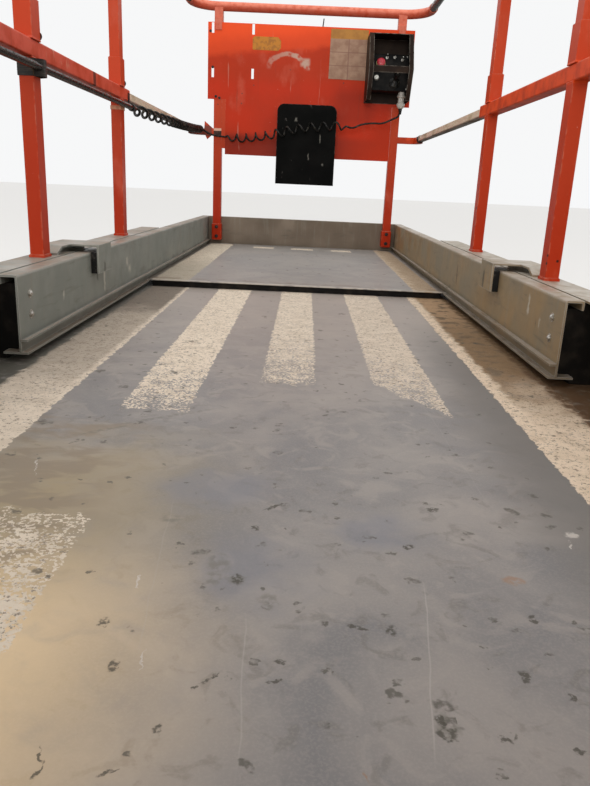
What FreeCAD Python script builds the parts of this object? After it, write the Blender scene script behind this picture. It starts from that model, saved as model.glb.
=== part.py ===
"""Work platform of a scissor lift, with its roll-out extension drawn all the way out.

X is to the right, +Y is forward to the extension, Z is up. Millimetres. The origin is on the floor, under the
middle of the whole length: the platform stands on the two bearers of its underframe.
The main platform is a steel tray: deck, underframe, two outer side beams, guard rails and a rear entry gate.
The extension is a second tray, carried on two inner beams that slide inside the outer ones.
"""

import FreeCAD, Part
import math
import os

V = FreeCAD.Vector

# Main platform
platform_length = 2620.0
platform_width = 1200.0
sheet = 4.0                    # folded sheet of the beams and toe boards
deck_plate = 3.0
beam_top_above_deck = 138.0    # kick board height above the extension deck
outer_flange = 70.0
beam_gap = 6.0                 # between the flanges of the outer and the inner beam
fold_radius = 5.0

# Extension
travel = 1085.0
front_clearance = 6.0          # toe board to main deck when the extension is in
inner_beam_length = 2538.0
inner_flange = 34.0
inner_lip = 13.0
ledge = 12.0                   # inward fold and foot of the inner beam
groove_height = 20.0
extension_deck_length = 1508.0
slide_gap = 15.0               # main deck to the foot of the inner beam
slide_clearance = 0.3
toe_flange = 30.0
rib_height = 10.0
rib_width = 6.0
rib_count = 3
rib_inset = 20.0               # from the strip under the deck's rear edge

# Underframe
bearer_height = 100.0
bearer_flange = 50.0
bearer_wall = 6.0
bearer_inset = 270.0           # inner face of the bearer's web to the side of the platform
bearer_end_inset = 60.0
boss_diameter = 70.0
pin_diameter = 40.0
boss_length = 66.0
boss_inset = 200.0
cross_tube = 40.0
cross_wall = 3.0
cross_count = 5
track_length = 1000.0          # front stretch of the bearers, left free for the sliding arm ends

# Guard rails
post_width = 30.0
post_depth = 40.0
post_wall = 3.0
post_pitch = 695.0
side_post_count = 3            # besides the post at each rear corner
last_post_inset = 444.0        # centre of the foremost side post to the front end
post_inset = 40.0              # centres of the posts and rails to the side of the platform
foot_length = 44.0
foot_width = 34.0
foot_thickness = 5.0
cuff_wall = 3.0                # sleeve round the foot of each upper post
cuff_height = 75.0
mid_rail = 35.0
mid_rail_wall = 2.5
mid_rail_inset = 37.5
mid_rail_height = 556.0        # centre line above the extension deck
mid_tube = 25.0
mid_tube_wall = 2.0
mid_tube_drop = 2.0            # it rests on the floor of the middle rail
arm_tube = 30.0
arm_drop = 5.0
arm_bend = 45.0
arm_reach = 100.0
cord_plate_outline = ((0, 14), (0, -8), (32, -36), (48, -5), (45, 50))   # out from the post, up from the arm
rail_end_inset = 350.0         # front end of the outer rail tubes to the front end of the platform
tube_overlap = 160.0           # how far an inner tube still sits in its outer tube
top_rail = 42.0
top_rail_wall = 3.0
top_rail_inset = 35.0
top_rail_height = 1123.0
top_rail_bend = 120.0
top_tube = 35.0
top_tube_wall = 2.5
top_rail_reach = 150.0
top_seat = 25.0                # how far the slide tube sits in the end of the front rail

# Front frame of the extension
front_post = 40.0
front_post_wall = 3.0
front_post_inset = 47.0        # centre of the post to the web of the inner beam
socket_wall = 5.0
socket_height = 84.0
socket_lift = 20.0

# Control panel and what hangs on it
panel_sheet = 2.0
panel_past_left = 51.0         # edges of the panel to the centres of the front posts
panel_past_right = 63.0
panel_drop = 73.0              # top edge to the centre of the top rail
panel_step = 346.0             # from the top edge down to the step
panel_height = 603.0
panel_within_left = 38.0       # edges of the lower part, inside the centres of the posts
panel_within_right = 21.0
slot_width = 12.0
slot_length = 46.0
slot_insets = (24.0, 220.0)    # from the left edge
slot_drops = (48.0, 246.0)     # from the top edge to the lower end of the slot
tab_width = 33.0
tab_drop = 34.0
tab_rise = 20.0
tab_sheet = 5.0
box_offset = 3.0               # centre of the document box from the middle
box_width = 290.0
box_drop = 360.0
box_height = 374.0
box_depth = 78.0
box_corner = 34.0
guard_inset = 22.0             # right side of the guard to the right edge of the panel
guard_width = 205.0
guard_drop = 42.0
guard_height = 292.0
guard_middle_drop = 163.0      # from its top to where it reaches furthest out
guard_sheet = 3.0
guard_rim = 20.0
guard_depth_top = 140.0
guard_depth_middle = 232.0
guard_depth_bottom = 168.0
console_drop = 78.0            # from the guard's top
console_height = 168.0
console_depth_top = 70.0
console_depth_bottom = 120.0
console_gap = 2.0
bar_height = 30.0
bar_sheet = 4.0
bar_inset = 22.0
button_inset = 64.0            # from the guard's left side
button_drop = 123.0            # from the guard's top
button_diameter = 40.0
button_cap = 12.0
button_stem = 11.0
button_edge = 4.0
connector_inset = 32.0         # from the guard's right side
connector_setback = 8.0
connector_diameter = 40.0
connector_length = 74.0

# Rear entry
gate_post = 40.0
rear_panel = 275.0             # fixed panel each side of the gate
rear_post_inset = 59.0
gate_tube = 30.0
gate_wall = 4.0
gate_bar = 25.0
gate_clearance = 8.0
gate_bottom_gap = 15.0
gate_toe_sheet = 3.0
gate_toe_gap = 3.0
hinge_pin = 21.8
hinge_pin_length = 36.0
hinge_lug = 8.0
hinge_inset = 60.0             # lugs to the gate's ends
hinge_gap = 1.0
stop_reach = 30.0
stop_height = 60.0
stop_sheet = 6.0
stop_gap = 2.0
stop_lift = 80.0

# Cords
cable_diameter = 16.0
cable_gap = 27.5               # centre of the cable to the centre of the middle rail
cable_height = 521.0           # above the extension deck
cable_corner = 60.0            # bends of the cable at the rear corner
cable_drift = 1500.0
gland_inset = 51.0
gland_gap = 3.0
gland_diameter = 22.0
gland_height = 30.0
clip_sheet = 2.5
clip_width = 14.0
clip_tab = 24.0
clip_insets = (26.0, 1150.0, 1450.0)   # from the front end of the middle rail
clip_clearance = 0.1
band_height = 26.0             # band on the second post from the front
band_foot = 18.0               # its lower edge under the centre of the cable
strap_height = 11.0            # narrow strap on the foremost post
strap_foot = 15.0
band_wall = 1.5
band_gap = 0.1
cord_diameter = 9.0
rail_coil_diameter = 38.0
coil_bend = 1500.0
coil_gap = 0.5                 # to the end of the cable
lead_start = 30.0              # straight stretch of the lead, out of the coil
front_coil_diameter = 46.0
cord_sides = 12

# Keeper brackets and slide pads
keeper_sheet = 5.0
keeper_rise = 18.0
keeper_setback = 8.0
keeper_toe = 10.0
keeper_start = 1095.0          # these four are set back from the front end of the platform
keeper_ramp_end = 1060.0
keeper_arm_start = 1002.0
keeper_end = 892.0
hook_pad = 14.0
hook_drop = 50.0
pad_length = 60.0
pad_inset = 20.0
block_length = 60.0
block_inset = 25.0
block_clearance = 3.0          # to the edge of the inner beam's foot
strip_depth = 30.0
strip_inset = 8.0
strip_side_gap = 8.0

# Places worked out from the sizes above
overall_length = platform_length + front_clearance + travel + toe_flange
y_rear = -overall_length / 2
y_front = y_rear + platform_length
y_toe = y_front + front_clearance + travel
y_deck_edge = y_toe - extension_deck_length
y_beam_rear = y_toe - inner_beam_length
y_rear_posts = y_rear + rear_post_inset
y_rail_end = y_front - rail_end_inset
y_posts = [y_front - last_post_inset - i * post_pitch for i in range(side_post_count)] + [y_rear_posts]
y_front_post = y_toe - front_post / 2 - socket_wall
y_panel = y_front_post - front_post / 2

z_deck = bearer_height + deck_plate
z_beam_bottom = bearer_height - sheet
z_foot = z_deck + slide_gap
z_extension_sheet = z_foot + sheet
z_extension = z_extension_sheet + deck_plate
z_beam_top = z_extension + beam_top_above_deck
z_mid_rail = z_extension + mid_rail_height
z_top_rail = z_extension + top_rail_height

x_half = platform_width / 2
bearer_web_x = x_half - bearer_inset
post_x = x_half - post_inset
mid_rail_x = x_half - mid_rail_inset
top_rail_x = x_half - top_rail_inset
cable_x = cable_gap - mid_rail_x
gland_x = gland_inset - x_half
x_outer_edge = x_half - outer_flange
x_inner_edge = x_outer_edge - beam_gap
x_web = x_inner_edge - inner_flange
x_ledge = x_web - ledge
front_post_x = x_web - front_post_inset
panel_left = -front_post_x - panel_past_left
panel_right = front_post_x + panel_past_right
guard_right = panel_right - guard_inset
guard_left = guard_right - guard_width


def box(x0, x1, y0, y1, z0, z1):
    """A block between two corners."""
    return Part.makeBox(x1 - x0, y1 - y0, z1 - z0, V(x0, y0, z0))


def mirrored(shape):
    """The same piece on the left side."""
    return shape.mirror(V(0, 0, 0), V(1, 0, 0))


def on_side(shape, side):
    """A piece drawn on the right, put on the side it is for."""
    return shape if side == "right" else mirrored(shape)


def along_y(outline, y0, y1):
    """An outline of (x, z) points, run from y0 to y1."""
    wire = Part.makePolygon([V(x, y0, z) for x, z in outline + outline[:1]])
    return Part.Face(wire).extrude(V(0, y1 - y0, 0))


def along_x(outline, x0, x1):
    """An outline of (y, z) points, run from x0 to x1."""
    wire = Part.makePolygon([V(x0, y, z) for y, z in outline + outline[:1]])
    return Part.Face(wire).extrude(V(x1 - x0, 0, 0))


def round_folds(shape, corners, radius):
    """Rounds the long edges that run along Y through the named (x, z) corners."""
    chosen = []
    for edge in shape.Edges:
        a, b = edge.Vertexes[0].Point, edge.Vertexes[-1].Point
        away = min(math.hypot(a.x - x, a.z - z) + math.hypot(b.x - x, b.z - z) for x, z in corners)
        if abs(a.y - b.y) > 1 and away < 0.02:
            chosen.append(edge)
    return shape.makeFillet(radius, chosen)


def square_tube(size_x, size_y, wall, x, y, z0, z1):
    """An upright box section, open at its ends."""
    outer = box(x - size_x / 2, x + size_x / 2, y - size_y / 2, y + size_y / 2, z0, z1)
    inner = box(x - size_x / 2 + wall, x + size_x / 2 - wall,
                y - size_y / 2 + wall, y + size_y / 2 - wall, z0 - 1, z1 + 1)
    return outer.cut(inner)


def level_tube(size, wall, start, end):
    """A level box section between two points that lie along X or along Y."""
    half = size / 2
    run_x = abs(end.x - start.x) > abs(end.y - start.y)
    grow = V(0, half, half) if run_x else V(half, 0, half)
    low = V(min(start.x, end.x), min(start.y, end.y), start.z) - grow
    high = V(max(start.x, end.x), max(start.y, end.y), end.z) + grow
    outer = box(low.x, high.x, low.y, high.y, low.z, high.z)
    thin = V(0, wall, wall) if run_x else V(wall, 0, wall)
    past = V(1, 0, 0) if run_x else V(0, 1, 0)
    a, b = low + thin - past, high - thin + past
    return outer.cut(box(a.x, b.x, a.y, b.y, a.z, b.z))


def path_wire(points, radius_at):
    """Straight runs joined by tangent arcs; radius_at gives the radius at each inner point."""
    edges = []
    start = points[0]
    for i in range(1, len(points) - 1):
        corner = points[i]
        back = (points[i - 1] - corner).normalize()
        ahead = (points[i + 1] - corner).normalize()
        half_angle = back.getAngle(ahead) / 2
        radius = radius_at(i)
        reach = radius / math.tan(half_angle)
        first, last = corner + back * reach, corner + ahead * reach
        centre = corner + (back + ahead).normalize() * (radius / math.sin(half_angle))
        middle = centre + (corner - centre).normalize() * radius
        edges.append(Part.LineSegment(start, first).toShape())
        edges.append(Part.Arc(first, middle, last).toShape())
        start = last
    edges.append(Part.LineSegment(start, points[-1]).toShape())
    return Part.Wire(edges)


def bent(points, radius_at, section):
    """A section, a wire drawn about the first point, swept along the path."""
    return path_wire(points, radius_at).makePipeShell([section], True, False)


def ring(centre, normal, diameter):
    """A round section."""
    return Part.Wire([Part.makeCircle(diameter / 2, centre, normal)])


def bent_bar(points, bend, diameter):
    """A round bar with bends of one radius, for a pipe whose inside is closed."""
    return bent(points, lambda i: bend, ring(points[0], points[1] - points[0], diameter))


def round_bore(start, end, diameter):
    """A cylinder between two points, to bore or to make a straight pipe with."""
    return Part.makeCylinder(diameter / 2, (end - start).Length, start, end - start)


def cord_radius(points, name):
    """As large an arc as the two runs beside each point allow."""
    radii = {}
    for i in range(1, len(points) - 1):
        before, after = points[i] - points[i - 1], points[i + 1] - points[i]
        turn = before.getAngle(after)
        radii[i] = 0.45 * min(before.Length, after.Length) / math.tan(turn / 2)
    print(name, "radii", [round(r) for r in radii.values()])
    return lambda i: radii[i]


def cord(name, points, diameter):
    """A free cord's tube along its route."""
    section = flat_sided(points[0], points[1] - points[0], diameter)
    return bent(points, cord_radius(points, name), section)


def flat_sided(centre, normal, diameter):
    """A section of even flats, plain enough for a cord."""
    turn = FreeCAD.Rotation(V(0, 0, 1), normal)
    step = 2 * math.pi / cord_sides
    corners = [centre + turn.multVec(V(math.cos(i * step), math.sin(i * step), 0)) * (diameter / 2)
               for i in range(cord_sides)]
    return Part.makePolygon(corners + corners[:1])


def joined(shapes):
    """Pieces welded into one."""
    return shapes[0].multiFuse(shapes[1:]).removeSplitter() if len(shapes) > 1 else shapes[0]


parts = {}


def put(name, shapes):
    """Keeps a node: one solid, or several that don't touch."""
    parts[name] = shapes[0] if len(shapes) == 1 else Part.makeCompound(shapes)


# Bearers: channels open outwards, on which the platform stands, with a boss for the fixed scissor pin
bearer_rear = y_rear + bearer_end_inset
bearer_front = y_front - bearer_end_inset
bearer_tip = bearer_web_x + bearer_flange
web_outer = bearer_web_x + bearer_wall
channel = along_y([(bearer_web_x, 0), (bearer_tip, 0), (bearer_tip, bearer_wall), (web_outer, bearer_wall),
                   (web_outer, bearer_height - bearer_wall), (bearer_tip, bearer_height - bearer_wall),
                   (bearer_tip, bearer_height), (bearer_web_x, bearer_height)], bearer_rear, bearer_front)
boss_y = bearer_rear + boss_inset
boss_x = bearer_tip + 1 - boss_length
boss_at = V(boss_x, boss_y, bearer_height / 2)
boss = Part.makeCylinder(boss_diameter / 2, boss_length, boss_at, V(1, 0, 0))
pin_hole = Part.makeCylinder(pin_diameter / 2, boss_length + 2, boss_at - V(1, 0, 0), V(1, 0, 0))
bearer = channel.fuse(boss).cut(pin_hole).removeSplitter()
for side in ("left", "right"):
    put("bearer_" + side, [on_side(bearer, side)])

# Cross members between the bearers, and outriggers that carry the outer beams
cross_y0 = bearer_rear + cross_tube / 2
cross_y1 = bearer_front - cross_tube / 2
cross_step = (cross_y1 - cross_y0) / (cross_count - 1)
z_cross = bearer_height - cross_tube / 2
z_outrigger = z_beam_bottom - cross_tube / 2
members = []
for i in range(cross_count):
    y = cross_y0 + i * cross_step
    ends = V(-bearer_web_x, y, z_cross), V(bearer_web_x, y, z_cross)
    members.append(level_tube(cross_tube, cross_wall, *ends))
    clear_of_track = y < y_front - track_length - cross_tube or i == cross_count - 1
    if clear_of_track and abs(y - boss_y) > boss_diameter:
        arm = level_tube(cross_tube, cross_wall, V(web_outer, y, z_outrigger), V(x_half, y, z_outrigger))
        arm = max(arm.cut(bearer).Solids, key=lambda solid: solid.Volume)
        members += [arm, mirrored(arm)]
put("cross_members", members)

# Main deck plate
y_tray = y_rear + sheet
put("main_deck", [box(-x_half + sheet + 0.5, x_half - sheet - 0.5, y_tray, y_front, bearer_height, z_deck)])

# Outer side beams, folded channels open inwards
outer_beam = along_y([(x_outer_edge, z_beam_bottom), (x_half, z_beam_bottom), (x_half, z_beam_top),
                      (x_outer_edge, z_beam_top), (x_outer_edge, z_beam_top - sheet),
                      (x_half - sheet, z_beam_top - sheet), (x_half - sheet, z_beam_bottom + sheet),
                      (x_outer_edge, z_beam_bottom + sheet)], y_tray, y_front)
outer_beam = round_folds(outer_beam, [(x_half, z_beam_top), (x_half, z_beam_bottom)], fold_radius)
for side in ("left", "right"):
    put("outer_beam_" + side, [on_side(outer_beam, side)])

# Keeper brackets: a ramped strap on the outer beam, an arm over the inner beam, a padded hook behind its web
z_keeper = z_beam_top + keeper_rise
z_strap = z_keeper - keeper_sheet
strap_in = x_outer_edge + keeper_setback
keeper_y = [y_front - inset for inset in (keeper_start, keeper_ramp_end, keeper_arm_start, keeper_end)]
strap = along_x([(keeper_y[0], z_beam_top), (keeper_y[0] + keeper_toe, z_beam_top),
                 (keeper_y[1] + keeper_sheet, z_strap), (keeper_y[3] - keeper_sheet, z_strap),
                 (keeper_y[3] - keeper_sheet, z_beam_top), (keeper_y[3], z_beam_top), (keeper_y[3], z_keeper),
                 (keeper_y[1], z_keeper), (keeper_y[0], z_beam_top + keeper_sheet)],
                strap_in, x_half - fold_radius)
hook_back = x_web - hook_pad - slide_clearance
hook_face = hook_back - keeper_sheet
z_hook = z_beam_top - hook_drop
arm_plate = box(hook_face, strap_in + 1, keeper_y[2], keeper_y[3], z_strap, z_keeper)
hook = box(hook_face, hook_back, keeper_y[2], keeper_y[3], z_hook, z_keeper)
keeper = joined([strap, arm_plate, hook])
hook_wear_pad = box(hook_back, x_web - slide_clearance, keeper_y[2], keeper_y[3], z_hook, z_beam_top)
for side in ("left", "right"):
    put("keeper_" + side, [on_side(keeper, side)])
put("keeper_pads", [hook_wear_pad, mirrored(hook_wear_pad)])

# Nylon pads under the feet of the inner beams, at the front end of the main deck
front_pad = box(x_ledge + 2, x_inner_edge - 2, y_front - pad_inset - pad_length, y_front - pad_inset,
                z_deck, z_foot - slide_clearance)
put("front_slide_pads", [front_pad, mirrored(front_pad)])

# Lower side posts with their foot plates, standing on the outer beams
z_rail_under = z_mid_rail - mid_rail / 2
z_rail_over = z_mid_rail + mid_rail / 2
lower_posts = []
for y in y_posts:
    foot = box(post_x - foot_width / 2, post_x + foot_width / 2, y - foot_length / 2, y + foot_length / 2,
               z_beam_top, z_beam_top + foot_thickness)
    tube = square_tube(post_width, post_depth, post_wall, post_x, y,
                       z_beam_top + foot_thickness, z_rail_under)
    lower_posts.append(joined([foot, tube]))
upper_cut = round_bore(V(top_rail_x, y_rear, z_top_rail), V(top_rail_x, y_front, z_top_rail), top_rail)
upper_posts = []
for y in y_posts:
    post = square_tube(post_width, post_depth, post_wall, post_x, y, z_rail_over, z_top_rail).cut(upper_cut)
    post = max(post.Solids, key=lambda solid: solid.Volume)
    cuff = square_tube(post_width + 2 * cuff_wall, post_depth + 2 * cuff_wall, cuff_wall + post_wall,
                       post_x, y, z_rail_over, z_rail_over + cuff_height)
    upper_posts.append(joined([post, cuff]))
for side in ("left", "right"):
    put("lower_posts_" + side, [on_side(post, side) for post in lower_posts])
    put("upper_posts_" + side, [on_side(post, side) for post in upper_posts])

# Outer tubes of the side rails: the middle one square, the top one round and bent round the rear corner
y_rail_rear = y_rear_posts - post_depth / 2
mid_outer = level_tube(mid_rail, mid_rail_wall, V(mid_rail_x, y_rail_rear, z_mid_rail),
                       V(mid_rail_x, y_rail_end, z_mid_rail))
x_gate = x_half - rear_panel
x_gate_post = x_gate + gate_post / 2
top_outer = bent_bar([V(top_rail_x, y_rail_end, z_top_rail), V(top_rail_x, y_rear_posts, z_top_rail),
                      V(x_gate_post, y_rear_posts, z_top_rail)], top_rail_bend, top_rail)
top_outer = top_outer.cut(round_bore(V(top_rail_x, y_rear_posts + top_rail_bend, z_top_rail),
                                     V(top_rail_x, y_rail_end + 1, z_top_rail), top_rail - 2 * top_rail_wall))
for side in ("left", "right"):
    put("mid_rail_" + side, [on_side(mid_outer, side)])
    put("top_rail_" + side, [on_side(top_outer, side)])

# Rear end: gate posts, short middle rails and toe boards each side of the gate
rear_cut = Part.makeCylinder(top_rail / 2, platform_width, V(-x_half, y_rear_posts, z_top_rail), V(1, 0, 0))
rear_post = square_tube(gate_post, gate_post, post_wall, x_gate_post, y_rear_posts, z_deck, z_top_rail)
rear_post = max(rear_post.cut(rear_cut).Solids, key=lambda solid: solid.Volume)
rear_mid = level_tube(mid_rail, mid_rail_wall, V(x_gate + gate_post, y_rear_posts, z_mid_rail),
                      V(mid_rail_x - mid_rail / 2, y_rear_posts, z_mid_rail))
rear_toe = box(x_gate, x_half, y_rear, y_tray, z_beam_bottom, z_beam_top)
put("gate_posts", [rear_post, mirrored(rear_post)])
put("rear_mid_rails", [rear_mid, mirrored(rear_mid)])
put("rear_toe_boards", [rear_toe, mirrored(rear_toe)])

# Entry gate: its hinge stile turns on two pins that stand on lugs of the left gate post
x_hinge = -x_gate + gate_clearance + gate_tube / 2
x_latch = x_gate - gate_clearance - gate_tube / 2
z_gate_bottom = z_deck + gate_bottom_gap
z_gate_top = z_top_rail - top_rail / 2
y_gate = y_rear_posts
z_lugs = [z_gate_bottom + hinge_inset, z_gate_top - hinge_inset]
z_stile = [z_lugs[0] + hinge_lug / 2 + hinge_gap, z_lugs[1] - hinge_lug / 2 - hinge_gap]
stile = Part.makeCylinder(gate_tube / 2, z_stile[1] - z_stile[0], V(x_hinge, y_gate, z_stile[0]))
stile = stile.cut(Part.makeCylinder(gate_tube / 2 - gate_wall, z_stile[1] - z_stile[0] + 2,
                                    V(x_hinge, y_gate, z_stile[0] - 1)))
latch_stile = Part.makeCylinder(gate_tube / 2, z_stile[1] - z_stile[0], V(x_latch, y_gate, z_stile[0]))
z_bars = [z_beam_top + gate_bar / 2, z_mid_rail, z_stile[1] - gate_bar]
bars = []
for z in z_bars:
    bar = Part.makeCylinder(gate_bar / 2, x_latch - x_hinge, V(x_hinge, y_gate, z), V(1, 0, 0))
    bars.append(bar.cut(Part.makeCylinder(gate_tube / 2 - 1, z_stile[1], V(x_hinge, y_gate, 0))))
gate_frame = joined([stile, latch_stile] + bars)
put("gate_frame", [gate_frame])
toe_plate = box(x_hinge + gate_tube / 2 + gate_toe_gap, x_latch - gate_tube / 2 - gate_toe_gap,
                y_gate - gate_toe_sheet / 2, y_gate + gate_toe_sheet / 2, z_gate_bottom, z_beam_top)
put("gate_toe_plate", [toe_plate])
hinge_lugs = []
for z, direction in zip(z_lugs, (1, -1)):
    plate = box(-x_gate, x_hinge, y_gate - gate_tube / 2, y_gate + gate_tube / 2,
                z - hinge_lug / 2, z + hinge_lug / 2)
    plate = plate.fuse(Part.makeCylinder(gate_tube / 2, hinge_lug, V(x_hinge, y_gate, z - hinge_lug / 2)))
    pin = Part.makeCylinder(hinge_pin / 2, hinge_pin_length, V(x_hinge, y_gate, z), V(0, 0, direction))
    hinge_lugs.append(joined([plate, pin]))
put("gate_hinges", hinge_lugs)
y_stop = y_gate - gate_tube / 2 - stop_gap
stop_plate = box(x_gate - stop_reach, x_gate, y_stop - stop_sheet, y_stop,
                 z_mid_rail + stop_lift, z_mid_rail + stop_lift + stop_height)
put("gate_stop", [stop_plate])

# Extension deck: a plate on the feet of the inner beams, stiffened by flat ribs
deck_half = x_web - 1.5
extension_deck = box(-deck_half, deck_half, y_deck_edge, y_toe, z_extension_sheet, z_extension)
y_rib = y_deck_edge + strip_inset + strip_depth + rib_inset
for i in range(rib_count):
    x = (i - (rib_count - 1) / 2) * x_web / 2
    rib = box(x - rib_width / 2, x + rib_width / 2, y_rib, y_toe,
              z_extension_sheet - rib_height, z_extension_sheet)
    extension_deck = extension_deck.fuse(rib)
put("extension_deck", [extension_deck.removeSplitter()])
y_strip = y_deck_edge + strip_inset
x_strip = x_ledge - strip_side_gap
put("deck_slide_strip", [box(-x_strip, x_strip, y_strip, y_strip + strip_depth,
                             z_deck + slide_clearance, z_extension_sheet)])

# Inner side beams, folded channels open outwards, with a groove along the foot for the deck
z_ledge = z_extension_sheet + groove_height
z_lip = z_beam_top - inner_lip - sheet
web_back = x_web + sheet
inner_beam = along_y([(x_ledge, z_foot), (x_inner_edge, z_foot), (x_inner_edge, z_extension_sheet),
                      (web_back, z_extension_sheet), (web_back, z_beam_top - sheet),
                      (x_inner_edge - sheet, z_beam_top - sheet), (x_inner_edge - sheet, z_lip),
                      (x_inner_edge, z_lip), (x_inner_edge, z_beam_top), (x_web, z_beam_top),
                      (x_web, z_ledge + sheet), (x_ledge, z_ledge + sheet), (x_ledge, z_ledge),
                      (x_web, z_ledge), (x_web, z_extension_sheet), (x_ledge, z_extension_sheet)],
                     y_beam_rear, y_toe)
inner_beam = round_folds(inner_beam, [(x_web, z_beam_top)], fold_radius)
for side in ("left", "right"):
    put("inner_beam_" + side, [on_side(inner_beam, side)])

# Slide blocks bolted into the rear ends of the inner beams, running inside the outer beams
block_side = x_inner_edge + block_clearance
x_block = x_half - sheet - slide_clearance
z_block = z_beam_top - sheet - slide_clearance
z_block_foot = z_deck + slide_clearance
slide_block = along_y([(web_back, z_extension_sheet), (block_side, z_extension_sheet),
                       (block_side, z_block_foot), (x_block, z_block_foot), (x_block, z_block),
                       (x_outer_edge, z_block), (x_outer_edge, z_lip - 1), (web_back, z_lip - 1)],
                      y_beam_rear + block_inset, y_beam_rear + block_inset + block_length)
put("slide_blocks", [slide_block, mirrored(slide_block)])

# Front toe board, a channel across the ends of the inner beams
z_toe_foot = z_foot - rib_height
y_toe_front = y_toe + toe_flange
toe_board = along_x([(y_toe, z_toe_foot), (y_toe_front, z_toe_foot), (y_toe_front, z_toe_foot + sheet),
                     (y_toe + sheet, z_toe_foot + sheet), (y_toe + sheet, z_beam_top - sheet),
                     (y_toe_front, z_beam_top - sheet), (y_toe_front, z_beam_top), (y_toe, z_beam_top)],
                    -x_inner_edge, x_inner_edge)
put("front_toe_board", [toe_board])

# Front posts in sockets bolted to the toe board
z_socket = z_extension + socket_lift
socket_size = front_post + 2 * socket_wall
socket = square_tube(socket_size, socket_size, socket_wall, front_post_x, y_front_post,
                     z_socket, z_socket + socket_height)
y_top_reach = y_front_post - top_rail_reach
front_rail = bent_bar([V(-top_rail_x, y_top_reach, z_top_rail), V(-top_rail_x, y_front_post, z_top_rail),
                       V(top_rail_x, y_front_post, z_top_rail), V(top_rail_x, y_top_reach, z_top_rail)],
                      top_rail_bend, top_rail)
front_upright = square_tube(front_post, front_post, front_post_wall, front_post_x, y_front_post,
                            z_socket, z_top_rail)
front_upright = max(front_upright.cut(front_rail).Solids, key=lambda solid: solid.Volume)
put("post_sockets", [socket, mirrored(socket)])
for side in ("left", "right"):
    put("front_post_" + side, [on_side(front_upright, side)])

# Front top rail, bent back at both ends, with the tubes that slide in the top rails of the platform
y_top_seat = y_top_reach + top_seat
rail_seat = round_bore(V(top_rail_x, y_top_reach - 1, z_top_rail), V(top_rail_x, y_top_seat, z_top_rail),
                       top_tube)
put("front_top_rail", [front_rail.cut(rail_seat).cut(mirrored(rail_seat))])
slide_ends = (V(top_rail_x, y_rail_end - tube_overlap, z_top_rail), V(top_rail_x, y_top_seat, z_top_rail))
top_slide = round_bore(*slide_ends, top_tube).cut(round_bore(*slide_ends, top_tube - 2 * top_tube_wall))
put("top_slide_tubes", [top_slide, mirrored(top_slide)])

# Middle arms bent out from the front posts, with the bare tubes that slide in the middle rails
y_arm_end = y_front_post - arm_reach
z_arm = z_mid_rail - arm_drop
z_mid_tube = z_mid_rail - mid_tube_drop
arm_start = V(front_post_x + front_post / 2, y_front_post, z_arm)
arm_path = [arm_start, V(mid_rail_x, y_front_post, z_arm), V(mid_rail_x, y_arm_end, z_arm)]
half_arm = arm_tube / 2
arm_section = Part.makePolygon([arm_start + V(0, a, b) for a, b in
                                ((-half_arm, -half_arm), (half_arm, -half_arm), (half_arm, half_arm),
                                 (-half_arm, half_arm), (-half_arm, -half_arm))])
arm_bore = arm_section.copy()
arm_bore.scale(1 - 2 * mid_rail_wall / arm_tube, arm_start)
mid_arm = bent(arm_path, lambda i: arm_bend, arm_section).cut(bent(arm_path, lambda i: arm_bend, arm_bore))
mid_slide = level_tube(mid_tube, mid_tube_wall, V(mid_rail_x, y_rail_end - tube_overlap, z_mid_tube),
                       V(mid_rail_x, y_arm_end, z_mid_tube))
for side in ("left", "right"):
    put("mid_arm_" + side, [on_side(mid_arm, side)])
put("mid_slide_tubes", [mid_slide, mirrored(mid_slide)])

# Plate between the left front post and its arm, where the cord comes in
x_post_side = -front_post_x - front_post / 2
cord_plate = along_y([(x_post_side - x, z_arm + h) for x, h in cord_plate_outline],
                     y_panel, y_front_post - half_arm)
put("cord_plate", [cord_plate])

# Control panel: a sheet on the rear faces of the front posts, stepped to pass between them lower down
z_panel = z_top_rail - panel_drop
z_step = z_panel - panel_step
z_panel_foot = z_panel - panel_height
x_lower = (panel_within_left - front_post_x, front_post_x - panel_within_right)
y_sheet = y_panel - panel_sheet
outline = [(panel_left, z_panel), (panel_right, z_panel), (panel_right, z_step), (x_lower[1], z_step),
           (x_lower[1], z_panel_foot), (x_lower[0], z_panel_foot), (x_lower[0], z_step), (panel_left, z_step)]
wire = Part.makePolygon([V(x, y_sheet, h) for x, h in outline + outline[:1]])
panel = Part.Face(wire).extrude(V(0, panel_sheet, 0))
for inset in slot_insets:
    for drop in slot_drops:
        x = panel_left + inset
        panel = panel.cut(box(x - slot_width / 2, x + slot_width / 2, y_sheet - 1, y_panel + 1,
                              z_panel - drop, z_panel - drop + slot_length))
put("control_panel", [panel])
tab_x = (front_post_x - tab_width / 2, front_post_x + tab_width / 2)
tab = joined([box(*tab_x, y_sheet - tab_sheet, y_sheet, z_panel - tab_drop, z_panel + tab_rise),
              box(*tab_x, y_sheet, y_panel, z_panel, z_panel + tab_rise)])
put("panel_tabs", [tab, mirrored(tab)])

# Document box, moulded with rounded corners
z_box = z_panel - box_drop
document_box = box(box_offset - box_width / 2, box_offset + box_width / 2, y_sheet - box_depth, y_sheet,
                   z_box - box_height, z_box)
y_box_middle = y_sheet - box_depth / 2
top_corners = [edge for edge in document_box.Edges
               if edge.Vertexes[0].Point.z > z_box - 1 and abs(edge.CenterOfMass.y - y_box_middle) < 1
               and edge.Length < 2 * box_depth]
put("document_box", [document_box.makeFillet(box_corner, top_corners)])

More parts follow.
